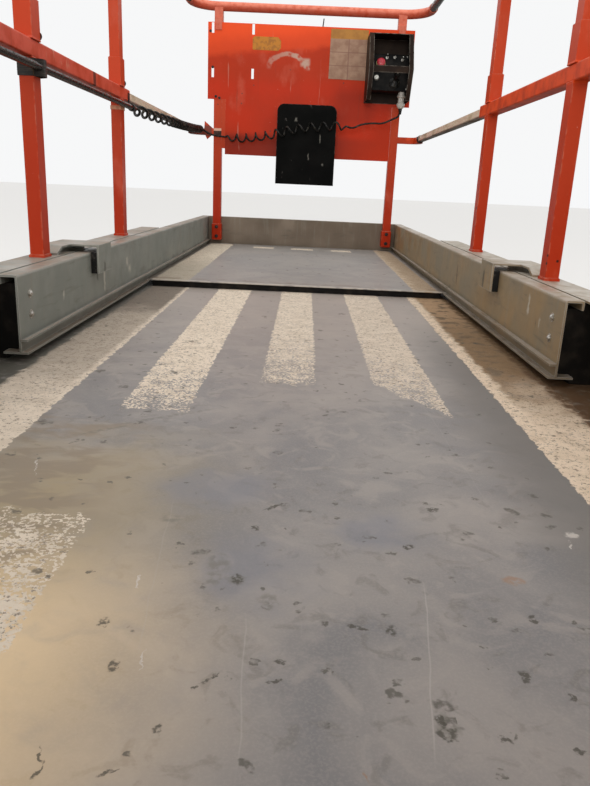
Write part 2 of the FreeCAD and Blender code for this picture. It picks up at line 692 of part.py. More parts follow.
# Control box: a folded guard open to the rear, with the console, a cross bar and a stop button inside
z_guard = z_panel - guard_drop
z_guard_middle = z_guard - guard_middle_drop
z_guard_foot = z_guard - guard_height
guard_front = [(y_sheet - guard_depth_top, z_guard), (y_sheet - guard_depth_middle, z_guard_middle),
               (y_sheet - guard_depth_bottom, z_guard_foot)]
guard = along_x([(y_sheet, z_guard_foot), (y_sheet, z_guard)] + guard_front, guard_left, guard_right)
y_guard_back = y_sheet - guard_sheet
y_past_guard = y_sheet - 2 * guard_depth_middle
guard = guard.cut(along_x([(y_guard_back, z_guard_foot - 1), (y_guard_back, z_guard - guard_sheet),
                           (y_past_guard, z_guard - guard_sheet), (y_past_guard, z_guard_foot - 1)],
                          guard_left + guard_sheet, guard_right - guard_sheet))
rim = guard_front + [(y + guard_sheet, h) for y, h in reversed(guard_front)]
for x in (guard_left + guard_sheet / 2, guard_right - guard_sheet / 2 - guard_rim):
    guard = guard.fuse(along_x(rim, x, x + guard_rim))
put("control_guard", [guard.removeSplitter()])
z_console = z_guard - console_drop
z_console_foot = z_console - console_height
console = along_x([(y_guard_back, z_console_foot), (y_guard_back, z_console),
                   (y_guard_back - console_depth_top, z_console),
                   (y_guard_back - console_depth_bottom, z_console_foot)],
                  guard_left + guard_sheet + console_gap, guard_right - guard_sheet - console_gap)
put("control_console", [console])
y_bar = y_sheet - guard_depth_middle + bar_inset
put("guard_cross_bar", [box(guard_left + guard_sheet, guard_right - guard_sheet, y_bar, y_bar + bar_sheet,
                            z_guard_middle - bar_height / 2, z_guard_middle + bar_height / 2)])
slope = math.atan2(console_depth_bottom - console_depth_top, console_height)
out_of_face = V(0, -math.cos(slope), math.sin(slope))
button_below = button_drop - console_drop
button_seat = V(guard_left + button_inset, y_guard_back - console_depth_top - button_below * math.tan(slope),
                z_guard - button_drop)
stem = Part.makeCylinder(button_diameter / 4, button_stem + 3, button_seat - out_of_face * 2, out_of_face)
cap_base = button_seat + out_of_face * button_stem
cap = Part.makeCylinder(button_diameter / 2, button_cap - button_edge, cap_base, out_of_face)
crown = Part.makeCone(button_diameter / 2, button_diameter / 2 - button_edge, button_edge,
                      cap_base + out_of_face * (button_cap - button_edge), out_of_face)
put("stop_button", [joined([stem, cap, crown]).cut(console)])

# Connector under the console, where the cord comes up
connector_x = guard_right - connector_inset
y_connector = y_guard_back - console_depth_bottom + connector_diameter / 2 + connector_setback
z_connector = z_console_foot - connector_length
put("cord_connector", [Part.makeCylinder(connector_diameter / 2, connector_length,
                                         V(connector_x, y_connector, z_connector))])

# Straight control cable beside the left middle rail, clipped to it, and down the rear post into a gland
z_cable = z_extension + cable_height
y_coil_start = y_rail_end + 20
y_down = y_rear_posts + foot_length / 2 + gland_diameter / 2 + gland_gap
z_gland = z_beam_top + gland_height
cable_route = [V(cable_x, y_coil_start, z_cable), V(cable_x, y_posts[2], z_cable),
               V(gland_x, y_down, z_cable), V(gland_x, y_down, z_gland)]
cable_bends = {1: cable_drift, 2: cable_corner}
cable = bent(cable_route, lambda i: cable_bends[i], flat_sided(cable_route[0], V(0, 1, 0), cable_diameter))
put("rail_cable", [cable])
gland = Part.makeCylinder(gland_diameter / 2, gland_height, V(gland_x, y_down, z_beam_top))
put("cable_gland", [gland])

# Loops of sheet that hold the cable to the inner face of the middle rail
x_rail_face = mid_rail / 2 - mid_rail_x
clip_bore = cable_diameter / 2 + clip_clearance
clips = []
for inset in clip_insets:
    y = y_rail_end - inset
    loop = Part.makeCylinder(clip_bore + clip_sheet, clip_width, V(cable_x, y, z_cable), V(0, 1, 0))
    tab = box(x_rail_face, x_rail_face + clip_sheet, y, y + clip_width, z_cable, z_rail_under + clip_tab)
    loop = loop.cut(box(-x_half, x_rail_face, y - 1, y + clip_width + 1, 0, z_top_rail)).fuse(tab)
    bore = Part.makeCylinder(clip_bore, clip_width + 2, V(cable_x, y - 1, z_cable), V(0, 1, 0))
    clips.append(loop.cut(bore).removeSplitter())
put("cable_clips", clips)

# A band and a narrow strap round the left posts, beside the cable
bands = []
for y, height, foot in ((y_posts[1], band_height, band_foot), (y_posts[0], strap_height, strap_foot)):
    bands.append(square_tube(post_width + 2 * band_wall, post_depth + 2 * band_wall, band_wall - band_gap,
                             -post_x, y, z_cable - foot, z_cable - foot + height))
put("post_bands", bands)

# Coil of the cord beside the left sliding tube, from the end of the middle rail into the bend of the arm
coil_route = [V(cable_x - 6, y_coil_start + coil_gap, z_cable - 1),
              V(cable_x + 4, 1085, z_mid_rail - 23), V(cable_x + 7, y_arm_end - 115, z_mid_rail - 7),
              V(cable_x + 16, y_arm_end + 30, z_mid_rail + 2)]
coil_section = flat_sided(coil_route[0], coil_route[1] - coil_route[0], rail_coil_diameter)
put("rail_coil", [bent(coil_route, lambda i: coil_bend, coil_section)])

# Front part of the cord: a lead past the left post, the coil in front of the panel, the tail to the connector
coil_end = coil_route[-1]
coil_ahead = (coil_end - coil_route[-2]).normalize()
bridge_route = [coil_end, coil_end + coil_ahead * lead_start, V(-480, y_front_post - 32, z_mid_rail - 17),
                V(-452, y_front_post - 40, z_mid_rail - 24), V(-412, y_front_post - 46, z_mid_rail - 27)]
front_start = bridge_route[-1]
front_ahead = (bridge_route[-1] - bridge_route[-2]).normalize()
front_route = [front_start, front_start + front_ahead * 80, V(-250, y_front_post - 92, z_mid_rail - 25),
               V(-170, y_front_post - 130, z_mid_rail - 14), V(-90, y_front_post - 134, z_mid_rail + 8),
               V(-10, y_front_post - 135, z_mid_rail + 24), V(70, y_front_post - 134, z_mid_rail + 34),
               V(150, y_front_post - 128, z_mid_rail + 40), V(205, y_front_post - 118, z_mid_rail + 37)]
tail_start = front_route[-1]
tail_ahead = (front_route[-1] - front_route[-2]).normalize()
tail_route = [tail_start, tail_start + tail_ahead * 30, V(262, y_front_post - 112, z_mid_rail + 52),
              V(318, y_front_post - 114, z_mid_rail + 62), V(372, y_front_post - 116, z_mid_rail + 60),
              V(420, y_front_post - 118, z_mid_rail + 84), V(connector_x, y_connector, z_connector - 34),
              V(connector_x, y_connector, z_connector)]
put("lead_past_post", [cord("lead_past_post", bridge_route, cord_diameter)])
put("front_coil", [cord("front_coil", front_route, front_coil_diameter)])
put("cord_tail", [cord("cord_tail", tail_route, cord_diameter)])

os.makedirs("parts", exist_ok=True)
for name, shape in parts.items():
    shape.exportStep("parts/" + name + ".step")
    print(name, len(shape.Solids), "valid" if shape.isValid() else "BROKEN", round(shape.Volume / 1e6, 3))
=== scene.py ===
import math
import random

import bmesh
import bpy
from mathutils import Matrix, Vector


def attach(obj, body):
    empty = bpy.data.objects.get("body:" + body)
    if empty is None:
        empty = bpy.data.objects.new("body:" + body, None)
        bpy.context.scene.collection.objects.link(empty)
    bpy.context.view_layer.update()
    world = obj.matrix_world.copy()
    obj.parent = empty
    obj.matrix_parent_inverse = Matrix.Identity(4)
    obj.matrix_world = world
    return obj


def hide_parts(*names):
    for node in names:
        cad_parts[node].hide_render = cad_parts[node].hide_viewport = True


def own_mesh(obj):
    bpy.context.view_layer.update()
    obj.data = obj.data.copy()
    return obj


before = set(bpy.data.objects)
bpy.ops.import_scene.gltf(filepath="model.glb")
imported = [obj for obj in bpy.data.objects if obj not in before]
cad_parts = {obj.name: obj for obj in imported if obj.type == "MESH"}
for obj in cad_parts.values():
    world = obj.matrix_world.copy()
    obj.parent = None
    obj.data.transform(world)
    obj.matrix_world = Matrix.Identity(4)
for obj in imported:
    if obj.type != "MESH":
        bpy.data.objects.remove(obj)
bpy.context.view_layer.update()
scene = bpy.context.scene
scene.view_settings.view_transform = "Standard"


# Camera: a phone held low in the open rear gate, looking forward and a little down along the platform.
# Its place, tilt and roll come from the beams, rails and posts of the photograph.
eye = Vector((0.0206, -1.9455, 0.4393))
tilt_down, roll, turn = 0.2889, 0.0455, -0.0040
focal_pixels, frame_width, frame_height, sensor = 700.0, 590, 786, 36.0

forward = Vector((math.sin(turn) * math.cos(tilt_down), math.cos(turn) * math.cos(tilt_down), -math.sin(tilt_down)))
level = Vector((math.cos(turn), -math.sin(turn), 0.0))
upward = level.cross(forward)
across = math.cos(roll) * level + math.sin(roll) * upward
upright = -math.sin(roll) * level + math.cos(roll) * upward
lens = bpy.data.cameras.new("camera")
lens.sensor_width = sensor
lens.lens = sensor * focal_pixels / frame_height
lens.clip_start = 0.01
camera = bpy.data.objects.new("camera", lens)
scene.collection.objects.link(camera)
camera.matrix_world = Matrix.Translation(eye) @ Matrix((across, upright, -forward)).transposed().to_4x4()
scene.camera = camera


# Light: a bright even sky with one broad lamp above and a fainter one behind the camera.
# The floor is a plain pale sheet. It throws little light back up, as the ground under a raised platform.
sky_strength, top_lamp, rear_lamp = 1.0, 16.0, 130.0
floor_half, floor_seen, floor_bounce = 30.0, (0.80, 0.80, 0.795, 1), (0.17, 0.16, 0.15, 1)

world = bpy.data.worlds.new("sky")
scene.world = world
world.use_nodes = True
sky = world.node_tree
sky.nodes.clear()
seen = sky.nodes.new("ShaderNodeLightPath")
any_view = sky.nodes.new("ShaderNodeMath")
any_view.operation = "MAXIMUM"
see_through = sky.nodes.new("ShaderNodeMath")
see_through.operation = "MAXIMUM"
sky.links.new(seen.outputs["Is Camera Ray"], any_view.inputs[0])
sky.links.new(seen.outputs["Is Glossy Ray"], any_view.inputs[1])
sky.links.new(any_view.outputs[0], see_through.inputs[0])
sky.links.new(seen.outputs["Is Transmission Ray"], see_through.inputs[1])
dim, pale = sky.nodes.new("ShaderNodeBackground"), sky.nodes.new("ShaderNodeBackground")
dim.inputs["Color"].default_value = (1.0, 0.985, 0.965, 1)
dim.inputs["Strength"].default_value = sky_strength
pale.inputs["Color"].default_value = (0.93, 0.935, 0.94, 1)
either, shown = sky.nodes.new("ShaderNodeMixShader"), sky.nodes.new("ShaderNodeOutputWorld")
sky.links.new(see_through.outputs[0], either.inputs[0])
sky.links.new(dim.outputs[0], either.inputs[1])
sky.links.new(pale.outputs[0], either.inputs[2])
sky.links.new(either.outputs[0], shown.inputs[0])

for name, power, size, place, target in (("lamp_above", top_lamp, 3.2, (0.3, 0.1, 3.6), (0, 0.1, 0)),
                                         ("lamp_behind", rear_lamp, 2.6, (-0.6, -6.5, 1.6), (0, 0.6, 0.6))):
    lamp = bpy.data.lights.new(name, "AREA")
    lamp.energy, lamp.size, lamp.color = power, size, (1.0, 0.97, 0.93)
    holder = bpy.data.objects.new(name, lamp)
    scene.collection.objects.link(holder)
    aim = (Vector(target) - Vector(place)).to_track_quat("-Z", "Y").to_matrix().to_4x4()
    holder.matrix_world = Matrix.Translation(place) @ aim

floor_mesh = bpy.data.meshes.new("floor")
floor_mesh.from_pydata([(x, y, 0) for x, y in ((-floor_half, -floor_half), (floor_half, -floor_half),
                                               (floor_half, floor_half), (-floor_half, floor_half))], [], [(0, 1, 2, 3)])
floor = bpy.data.objects.new("floor", floor_mesh)
scene.collection.objects.link(floor)
floor_paint = bpy.data.materials.new("pale_floor")
floor_paint.use_nodes = True
ground = floor_paint.node_tree
looked_at, tone = ground.nodes.new("ShaderNodeLightPath"), ground.nodes.new("ShaderNodeMix")
tone.data_type = "RGBA"
tone.inputs[6].default_value, tone.inputs[7].default_value = floor_bounce, floor_seen
ground.links.new(looked_at.outputs["Is Camera Ray"], tone.inputs["Factor"])
ground.links.new(tone.outputs[2], ground.nodes["Principled BSDF"].inputs["Base Color"])
ground.nodes["Principled BSDF"].inputs["Roughness"].default_value = 0.9
floor_mesh.materials.append(floor_paint)


# Control cable: one black rubber cord that starts at a gland on the rear beam, is clipped along the left
# middle rail, is curled round the sliding tube, and hangs in a coil before the panel up to its connector.
cable_thick, cord_thick = 0.016, 0.009
cable_route = [(-0.549, -1.7755, 0.293), (-0.549, -1.7755, 0.574), (-0.549, -1.7755, 0.646),
               (-0.5475, -1.7035, 0.646), (-0.535, -1.0845, 0.646), (-0.535, 0.4195, 0.646)]
tube_coil_route = [(-0.541, 0.4200, 0.645), (-0.531, 1.085, 0.658), (-0.528, 1.6005, 0.674), (-0.519, 1.7455, 0.683)]
tube_coil_radius, open_pitch, shut_pitch, open_to_y, shut_from_y = 0.0145, 0.105, 0.0115, 0.95, 1.40
lead_route = [(-0.519, 1.7455, 0.683), (-0.5171, 1.7754, 0.6849), (-0.480, 1.7835, 0.664), (-0.452, 1.7755, 0.657),
              (-0.412, 1.7695, 0.654), (-0.3331, 1.7577, 0.6481), (-0.250, 1.7235, 0.656), (-0.170, 1.6855, 0.667),
              (-0.090, 1.6815, 0.689), (-0.010, 1.6805, 0.705), (0.070, 1.6815, 0.715), (0.150, 1.6875, 0.721),
              (0.205, 1.6975, 0.718), (0.2345, 1.7029, 0.7164), (0.262, 1.7035, 0.733), (0.318, 1.7015, 0.743),
              (0.372, 1.6995, 0.741), (0.420, 1.6975, 0.765), (0.452, 1.6985, 0.779), (0.452, 1.6985, 0.813)]
front_coil_radius, front_coil_pitch, coil_from_x, coil_to_x, coil_fade = 0.0185, 0.056, -0.405, 0.212, 0.045
path_step, coil_step, ring_sides = 0.003, 0.0006, 10


class Finish:
    """One material's node tree, with short calls for the patterns that the finishes share."""

    def __init__(self, name, roughness, metallic=0.0, shine=0.5):
        self.material = bpy.data.materials.new(name)
        self.material.use_nodes = True
        self.tree = self.material.node_tree
        self.shader = self.tree.nodes["Principled BSDF"]
        self.place = self.tree.nodes.new("ShaderNodeTexCoord").outputs["Object"]
        self.wire(self.shader, {"Roughness": roughness, "Metallic": metallic, "Specular IOR Level": shine})

    def wire(self, node, values):
        for key, value in values.items():
            if isinstance(value, bpy.types.NodeSocket):
                self.tree.links.new(value, node.inputs[key])
            elif isinstance(value, tuple) and len(value) == 3 and node.inputs[key].type == "RGBA":
                node.inputs[key].default_value = (*value, 1)
            else:
                node.inputs[key].default_value = value

    def add(self, kind, values, **settings):
        node = self.tree.nodes.new("ShaderNode" + kind)
        for key, value in settings.items():
            setattr(node, key, value)
        self.wire(node, values)
        return node

    def stretched(self, stretch, move=(0, 0, 0), turned=(0, 0, 0)):
        values = {"Vector": self.place, "Scale": stretch, "Location": move, "Rotation": turned}
        return self.add("Mapping", values).outputs[0]

    def noise(self, scale, detail=3.0, stretch=(1, 1, 1), move=(0, 0, 0), rough=0.55, warp=0.0, turned=(0, 0, 0)):
        where = self.stretched(stretch, move, turned)
        return self.add("TexNoise", {"Vector": where, "Scale": scale, "Detail": detail, "Roughness": rough,
                                     "Distortion": warp}).outputs["Fac"]

    def step(self, value, low, high):
        """0 below low, 1 above high, or the other way round when low is above high."""
        return self.add("MapRange", {"Value": value, "From Min": low, "From Max": high},
                        interpolation_type="SMOOTHSTEP").outputs["Result"]

    def sum(self, kind, first, second=0.0):
        return self.add("Math", {0: first, 1: second}, operation=kind).outputs[0]

    def axis(self, name):
        return self.add("SeparateXYZ", {0: self.place}).outputs[name]

    def band(self, value, low, high, soft):
        """1 between low and high, fading over soft outside each."""
        return self.sum("MULTIPLY", self.step(value, low - soft, low + soft), self.step(value, high + soft, high - soft))

    def over(self, base, top, amount):
        mix = self.add("Mix", {"Factor": amount}, data_type="RGBA")
        self.wire(mix, {6: base, 7: top})
        return mix.outputs[2]

    def edges(self, radius=0.004, low=0.015, high=0.10):
        """1 on worn outer edges, from the difference of the true and the rounded surface."""
        rounded = self.add("Bevel", {"Radius": radius}, samples=6).outputs[0]
        flat = self.add("NewGeometry", {}).outputs["Normal"]
        difference = self.add("VectorMath", {0: rounded, 1: flat}, operation="DISTANCE").outputs["Value"]
        return self.step(difference, low, high)

    def relief(self, height, strength, distance=0.001):
        bump = self.add("Bump", {"Height": height, "Strength": strength, "Distance": distance})
        self.wire(self.shader, {"Normal": bump.outputs[0]})

    def done(self, colour, roughness=None):
        self.wire(self.shader, {"Base Color": colour})
        if roughness is not None:
            self.wire(self.shader, {"Roughness": roughness})
        return self.material


def place_piece(name, mesh, material, body, slot, *nodes):
    """A finished mesh becomes a piece that rides on a body and may stand for CAD nodes."""
    piece = bpy.data.objects.new(name, mesh)
    scene.collection.objects.link(piece)
    if material is not None:
        mesh.materials.clear()
        mesh.materials.append(material)
    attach(piece, body)
    if nodes:
        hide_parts(*nodes)
    return piece


def spline_of(name, points):
    """A smooth curve with these points as its control points."""
    line = bpy.data.curves.new(name, "CURVE")
    line.dimensions = "3D"
    line.resolution_u = 24
    spline = line.splines.new("NURBS")
    spline.points.add(len(points) - 1)
    for at, point in zip(spline.points, points):
        at.co = (*point, 1)
    spline.order_u = 3
    spline.use_endpoint_u = True
    return line


def read_back(points, step=path_step):
    """The points along the spline, evenly spaced, from its own evaluated line."""
    holder = bpy.data.objects.new("route", spline_of("route", points))
    scene.collection.objects.link(holder)
    mesh = bpy.data.meshes.new_from_object(holder.evaluated_get(bpy.context.evaluated_depsgraph_get()))
    raw = [v.co.copy() for v in mesh.vertices]
    bpy.data.objects.remove(holder)
    bpy.data.meshes.remove(mesh)
    even, left = [raw[0]], step
    for a, b in zip(raw, raw[1:]):
        run, gone = (b - a).length, 0.0
        while run - gone > left:
            gone += left
            even.append(a.lerp(b, gone / run))
            left = step
        left -= run - gone
    return even + [raw[-1]]


def curled(line, radius_at, pitch_at, step=path_step):
    """Winds a helix about the line. The radius and the pitch follow functions of the point on it."""
    path, angle = [], 0.0
    side = Vector((0, 0, 1))
    for i, point in enumerate(line):
        along = (line[min(i + 1, len(line) - 1)] - line[max(i - 1, 0)]).normalized()
        side = (side - along * side.dot(along)).normalized()
        other = along.cross(side)
        radius = radius_at(point)
        path.append(point + radius * (math.cos(angle) * side + math.sin(angle) * other))
        angle += 2 * math.pi * step / pitch_at(point)
    return path


def tube_along(name, path, thick):
    """A closed round tube mesh along the path, with a rotation-free frame."""
    shape = bmesh.new()
    uv = []
    side = Vector((0, 0, 1))
    rings, gone = [], 0.0
    for i, point in enumerate(path):
        along = (path[min(i + 1, len(path) - 1)] - path[max(i - 1, 0)]).normalized()
        if abs(side.dot(along)) > 0.9:
            side = Vector((1, 0, 0))
        side = (side - along * side.dot(along)).normalized()
        other = along.cross(side)
        rings.append([shape.verts.new(point + thick / 2 * (math.cos(t) * side + math.sin(t) * other))
                      for t in (2 * math.pi * k / ring_sides for k in range(ring_sides))])
        gone += (point - path[i - 1]).length if i else 0.0
        uv.append(gone)
    layer = shape.loops.layers.uv.new("along")
    for i in range(len(rings) - 1):
        for k in range(ring_sides):
            n = (k + 1) % ring_sides
            face = shape.faces.new((rings[i][k], rings[i][n], rings[i + 1][n], rings[i + 1][k]))
            face.smooth = True
            for loop, spot in zip(face.loops, ((k, i), (k + 1, i), (k + 1, i + 1), (k, i + 1))):
                loop[layer].uv = (spot[0] / ring_sides, uv[spot[1]])
    for ring, flip in ((rings[0], True), (rings[-1], False)):
        shape.faces.new(list(reversed(ring)) if flip else ring)
    mesh = bpy.data.meshes.new(name)
    shape.to_mesh(mesh)
    shape.free()
    return mesh


def length_of(path):
    return sum((b - a).length for a, b in zip(path, path[1:]))


rubber = Finish("cord_rubber", 0.48, shine=0.2)
dust = rubber.step(rubber.noise(70, 4), 0.50, 0.72)
fine = rubber.noise(900, 2)
rubber.relief(rubber.sum("ADD", fine, rubber.noise(160, 3)), 0.25, 0.0004)
black = rubber.over((0.011, 0.011, 0.010), (0.062, 0.056, 0.042), dust)
cord_rubber = rubber.done(black, rubber.step(dust, -0.6, 1.6))

cable_curve = spline_of("rail_cable_run", cable_route)
cable_curve.bevel_depth = cable_thick / 2
cable_curve.bevel_resolution = 4
cable_curve.use_fill_caps = True
cable_curve.materials.append(cord_rubber)
rail_cable = bpy.data.objects.new("rail_cable_run", cable_curve)
scene.collection.objects.link(rail_cable)
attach(rail_cable, "platform")
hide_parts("rail_cable")
length_of(read_back(cable_route))

tube_coil_line = read_back(tube_coil_route, coil_step)
tube_coil_ends = (tube_coil_route[0][1], tube_coil_route[-1][1])


def tube_coil_swell(point):
    """The curl starts and ends on the axis, over the first and last few centimetres."""
    near = min(point.y - tube_coil_ends[0], tube_coil_ends[1] - point.y)
    return tube_coil_radius * min(1.0, max(0.0, near) / 0.03)


def tube_coil_pitch(point):
    """Long open turns beside the middle rail, that close up towards the arm."""
    share = min(1.0, max(0.0, (point.y - open_to_y) / (shut_from_y - open_to_y)))
    return open_pitch * (shut_pitch / open_pitch) ** share


tube_coil_path = curled(tube_coil_line, tube_coil_swell, tube_coil_pitch, coil_step)
rail_coil = place_piece("rail_coil_curl", tube_along("rail_coil_curl", tube_coil_path, cord_thick), cord_rubber,
                        "platform", "cord_rubber", "rail_coil")
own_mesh(rail_coil)


def front_coil_swell(point):
    """No curl on the lead past the post nor on the tail, a full curl between them."""
    near = min(point.x - coil_from_x, coil_to_x - point.x)
    return front_coil_radius * min(1.0, max(0.0, near) / coil_fade)


def front_coil_spacing(point):
    """The turns hang further apart towards the connector."""
    share = min(1.0, max(0.0, (point.x - coil_from_x) / (coil_to_x - coil_from_x)))
    return front_coil_pitch * (0.90 + 0.22 * share)


front_cord_path = curled(read_back(lead_route), front_coil_swell, front_coil_spacing)


def spun(name, profile, foot, facing=(0, 0, 1), sides=32, groove=None):
    """Turns a profile of (height, radius) about an axis. groove is (count, depth, lowest, highest)."""
    aim = Vector(facing).to_track_quat("Z", "Y").to_matrix()
    shape, rings = bmesh.new(), []
    for height, radius in profile:
        ring = []
        for k in range(sides):
            angle = 2 * math.pi * k / sides
            cut = 0.0
            if groove and groove[2] <= height <= groove[3]:
                cut = groove[1] * (0.5 + 0.5 * math.cos(groove[0] * angle))
            spot = Vector(((radius - cut) * math.cos(angle), (radius - cut) * math.sin(angle), height))
            ring.append(shape.verts.new(Vector(foot) + aim @ spot))
        rings.append(ring)
    for low, high in zip(rings, rings[1:]):
        for k in range(sides):
            n = (k + 1) % sides
            shape.faces.new((low[k], low[n], high[n], high[k]))
    shape.faces.new(list(reversed(rings[0])))
    shape.faces.new(rings[-1])
    return closed_mesh(name, shape)


def closed_mesh(name, shape, sharp=35):
    """Ends a shape: its faces point outwards, and shading breaks only at real edges."""
    bmesh.ops.recalc_face_normals(shape, faces=shape.faces)
    mesh = bpy.data.meshes.new(name)
    shape.to_mesh(mesh)
    shape.free()
    mesh.shade_smooth()
    mesh.set_sharp_from_angle(angle=math.radians(sharp))
    holder = bpy.data.objects.new(name, mesh)
    scene.collection.objects.link(holder)
    flatten = holder.modifiers.new("flatten", "WEIGHTED_NORMAL")
    flatten.keep_sharp, flatten.weight = True, 90
    flat = bpy.data.meshes.new_from_object(holder.evaluated_get(bpy.context.evaluated_depsgraph_get()))
    bpy.data.objects.remove(holder)
    bpy.data.meshes.remove(mesh)
    flat.name = name
    return flat


shell = Finish("connector_shell", 0.42)
grime = shell.step(shell.noise(120, 4), 0.48, 0.70)
shell.relief(shell.noise(420, 2), 0.15, 0.0003)
connector_shell = shell.done(shell.over((0.60, 0.58, 0.53), (0.22, 0.19, 0.15), grime))
connector_foot = (0.452, 1.6985, 0.813)
connector_profile = [(0.0, 0.0105), (0.004, 0.0150), (0.010, 0.0178), (0.013, 0.0195), (0.022, 0.0195),
                     (0.024, 0.0158), (0.026, 0.0152), (0.047, 0.0152), (0.049, 0.0158), (0.051, 0.0195),
                     (0.058, 0.0195), (0.060, 0.0148), (0.074, 0.0148)]
connector = place_piece("connector_body", spun("connector_body", connector_profile, connector_foot, sides=48,
                                               groove=(12, 0.0012, 0.025, 0.048)),
                        connector_shell, "extension", "grey_plastic", "cord_connector")
boot_profile = [(-0.026, 0.0053), (-0.025, 0.0060)]
for i in range(6):
    boot_profile += [(-0.0235 + 0.004 * i, 0.0066 + 0.0005 * i), (-0.0215 + 0.004 * i, 0.0066 + 0.0005 * i),
                     (-0.0208 + 0.004 * i, 0.0058 + 0.0005 * i)]
boot_profile += [(0.002, 0.0088)]
cord_boot = place_piece("cord_boot", spun("cord_boot", boot_profile, connector_foot), cord_rubber,
                        "extension", "cord_rubber")
front_cord = place_piece("front_cord", tube_along("front_cord", front_cord_path, cord_thick), cord_rubber,
                         "extension", "cord_rubber", "lead_past_post", "front_coil", "cord_tail")

# Underframe: two channels that stand on the scissor arms, with tubes welded across them and outriggers
# to the side beams. Steel in grey paint, dusty, with rust where the paint is through.


def dress(material, *nodes):
    """Gives CAD nodes that are shown as they are a finish."""
    for node in nodes:
        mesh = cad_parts[node].data
        mesh.materials.clear()
        mesh.materials.append(material)


def eased(name, radius, material, slot, body, *nodes, shortest=0.1, segments=3):
    """A copy of CAD nodes with their long outside edges rounded, as on real tube and sheet."""
    shape = bmesh.new()
    for node in nodes:
        shape.from_mesh(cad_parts[node].data)
    bmesh.ops.remove_doubles(shape, verts=shape.verts, dist=2e-5)
    bmesh.ops.dissolve_limit(shape, angle_limit=math.radians(1.0), verts=shape.verts, edges=shape.edges)
    sharp = [edge for edge in shape.edges if edge.is_manifold and edge.is_convex
             and edge.calc_face_angle() > math.radians(60) and edge.calc_length() > shortest]
    bmesh.ops.bevel(shape, geom=sharp, offset=radius, segments=segments, profile=0.5, affect="EDGES",
                    clamp_overlap=True)
    return place_piece(name, closed_mesh(name, shape), material, body, slot, *nodes)


under = Finish("underframe_paint", 0.55, shine=0.3)
rust = under.step(under.noise(14, 6), 0.60, 0.70)
soot = under.step(under.noise(5, 3, (1, 0.4, 1)), 0.35, 0.75)
under.relief(under.sum("ADD", rust, under.noise(240, 2)), 0.2, 0.0005)
under_colour = under.over(under.over((0.20, 0.205, 0.21), (0.115, 0.105, 0.09), soot), (0.14, 0.055, 0.025), rust)
underframe_paint = under.done(under_colour, under.step(rust, -1.2, 1.6))
eased("bearers", 0.0012, underframe_paint, "frame_paint", "platform", "bearer_left", "bearer_right")
eased("cross_tubes", 0.004, underframe_paint, "frame_paint", "platform", "cross_members")


# Main deck: one plate of 3 mm steel in grey paint. Five strips of pale anti-slip grit run towards the
# extension, flaked off to the rear, with mud, boot stains and scratches over everything.
deck_edge_y, deck_top_z = 0.3325, 0.103

# Each mark on the deck is (x, y, half its length, half its width, how far it is turned), in mm and degrees.
hard_stains = [(-122, -1620, 4.9, 1.3, -103), (-81, -1616, 6.3, 1.1, 25), (-124, -1607, 7.9, 1.1, -69),
    (210, -1582, 2.5, 3.1, 5), (-59, -1580, 3.4, 4.1, 3), (165, -1574, 5.2, 2.3, -47),
    (128, -1573, 6, 5.8, 4), (126, -1561, 3.8, 6, 3),
    (-40, -1539, 6.4, 1.5, 48), (223, -1532, 2.4, 4.2, 2), (15, -1530, 6.4, 1.7, 13),
    (-31, -1529, 7.7, 1.6, 49), (-103, -1522, 3.5, 6.2, 5), (196, -1512, 4, 6.5, 4),
    (17, -1509, 4.7, 2.4, 9), (-123, -1472, 3.7, 7.1, 5), (104, -1464, 4.3, 6.4, 4),
    (77, -1462, 8.2, 2.7, -16), (224, -1440, 3.4, 5.8, 5), (-25, -1399, 5.8, 8.6, 5),
    (137, -1327, 5.3, 4.5, 5), (-16, -1303, 4.2, 6.1, 7), (2, -1251, 16.1, 2.5, 37),
    (175, -1241, 6, 5.5, 7)]
soft_stains = [(129, -1565, 8.9, 14.8, 4), (4, -1432, 9.7, 13.7, 5), (-47, -1401, 10.1, 12.2, 5),
    (-26, -1396, 10.2, 15.5, 5), (-45, -1373, 12.3, 19.7, 6), (-103, -1290, 13.7, 9.3, 6),
    (-249, -1039, 56.1, 5.1, 40), (-170, -966, 89, 5.6, 36)]
pale_marks = [(-83, -1514, 13.7, 0.7, -86), (-111, -1410, 13.4, 1, -79), (303, -1306, 10.2, 1.4, -102),
    (311, -1285, 7.5, 8.6, -49), (-287, -1174, 29.2, 0.8, -71)]
rust_marks = [(72, -1608, 5.5, 1.4, -70), (225, -1381, 12.3, 9.6, 1)]


def grey_paint(name):
    """The deck's grey paint with its worn swirls."""
    coat = Finish(name, 0.5, shine=0.22)
    grey = coat.over((0.195, 0.193, 0.194), (0.290, 0.272, 0.254), coat.step(coat.noise(4.5, 5, warp=0.9), 0.34, 0.66))
    swirl = coat.step(coat.noise(17, 5, warp=1.4), 0.50, 0.66)
    grey = coat.over(grey, (0.330, 0.305, 0.280), coat.sum("MULTIPLY", swirl, 0.52))
    worn = coat.step(coat.noise(34, 5, warp=1.0, move=(1, 2, 0)), 0.55, 0.68)
    grey = coat.over(grey, (0.150, 0.142, 0.128), coat.sum("MULTIPLY", worn, 0.42))
    dusting = coat.step(coat.noise(420, 3, rough=0.7), 0.46, 0.62)
    grey = coat.over(grey, (0.360, 0.335, 0.305), coat.sum("MULTIPLY", dusting, 0.22))
    return coat, grey


def shifted(coat, value, scale, reach, detail=3):
    """value moved to and fro by noise, so that an edge drawn with it is ragged."""
    ragged = coat.sum("SUBTRACT", coat.noise(scale, detail), 0.5)
    return coat.sum("ADD", value, coat.sum("MULTIPLY", ragged, reach))


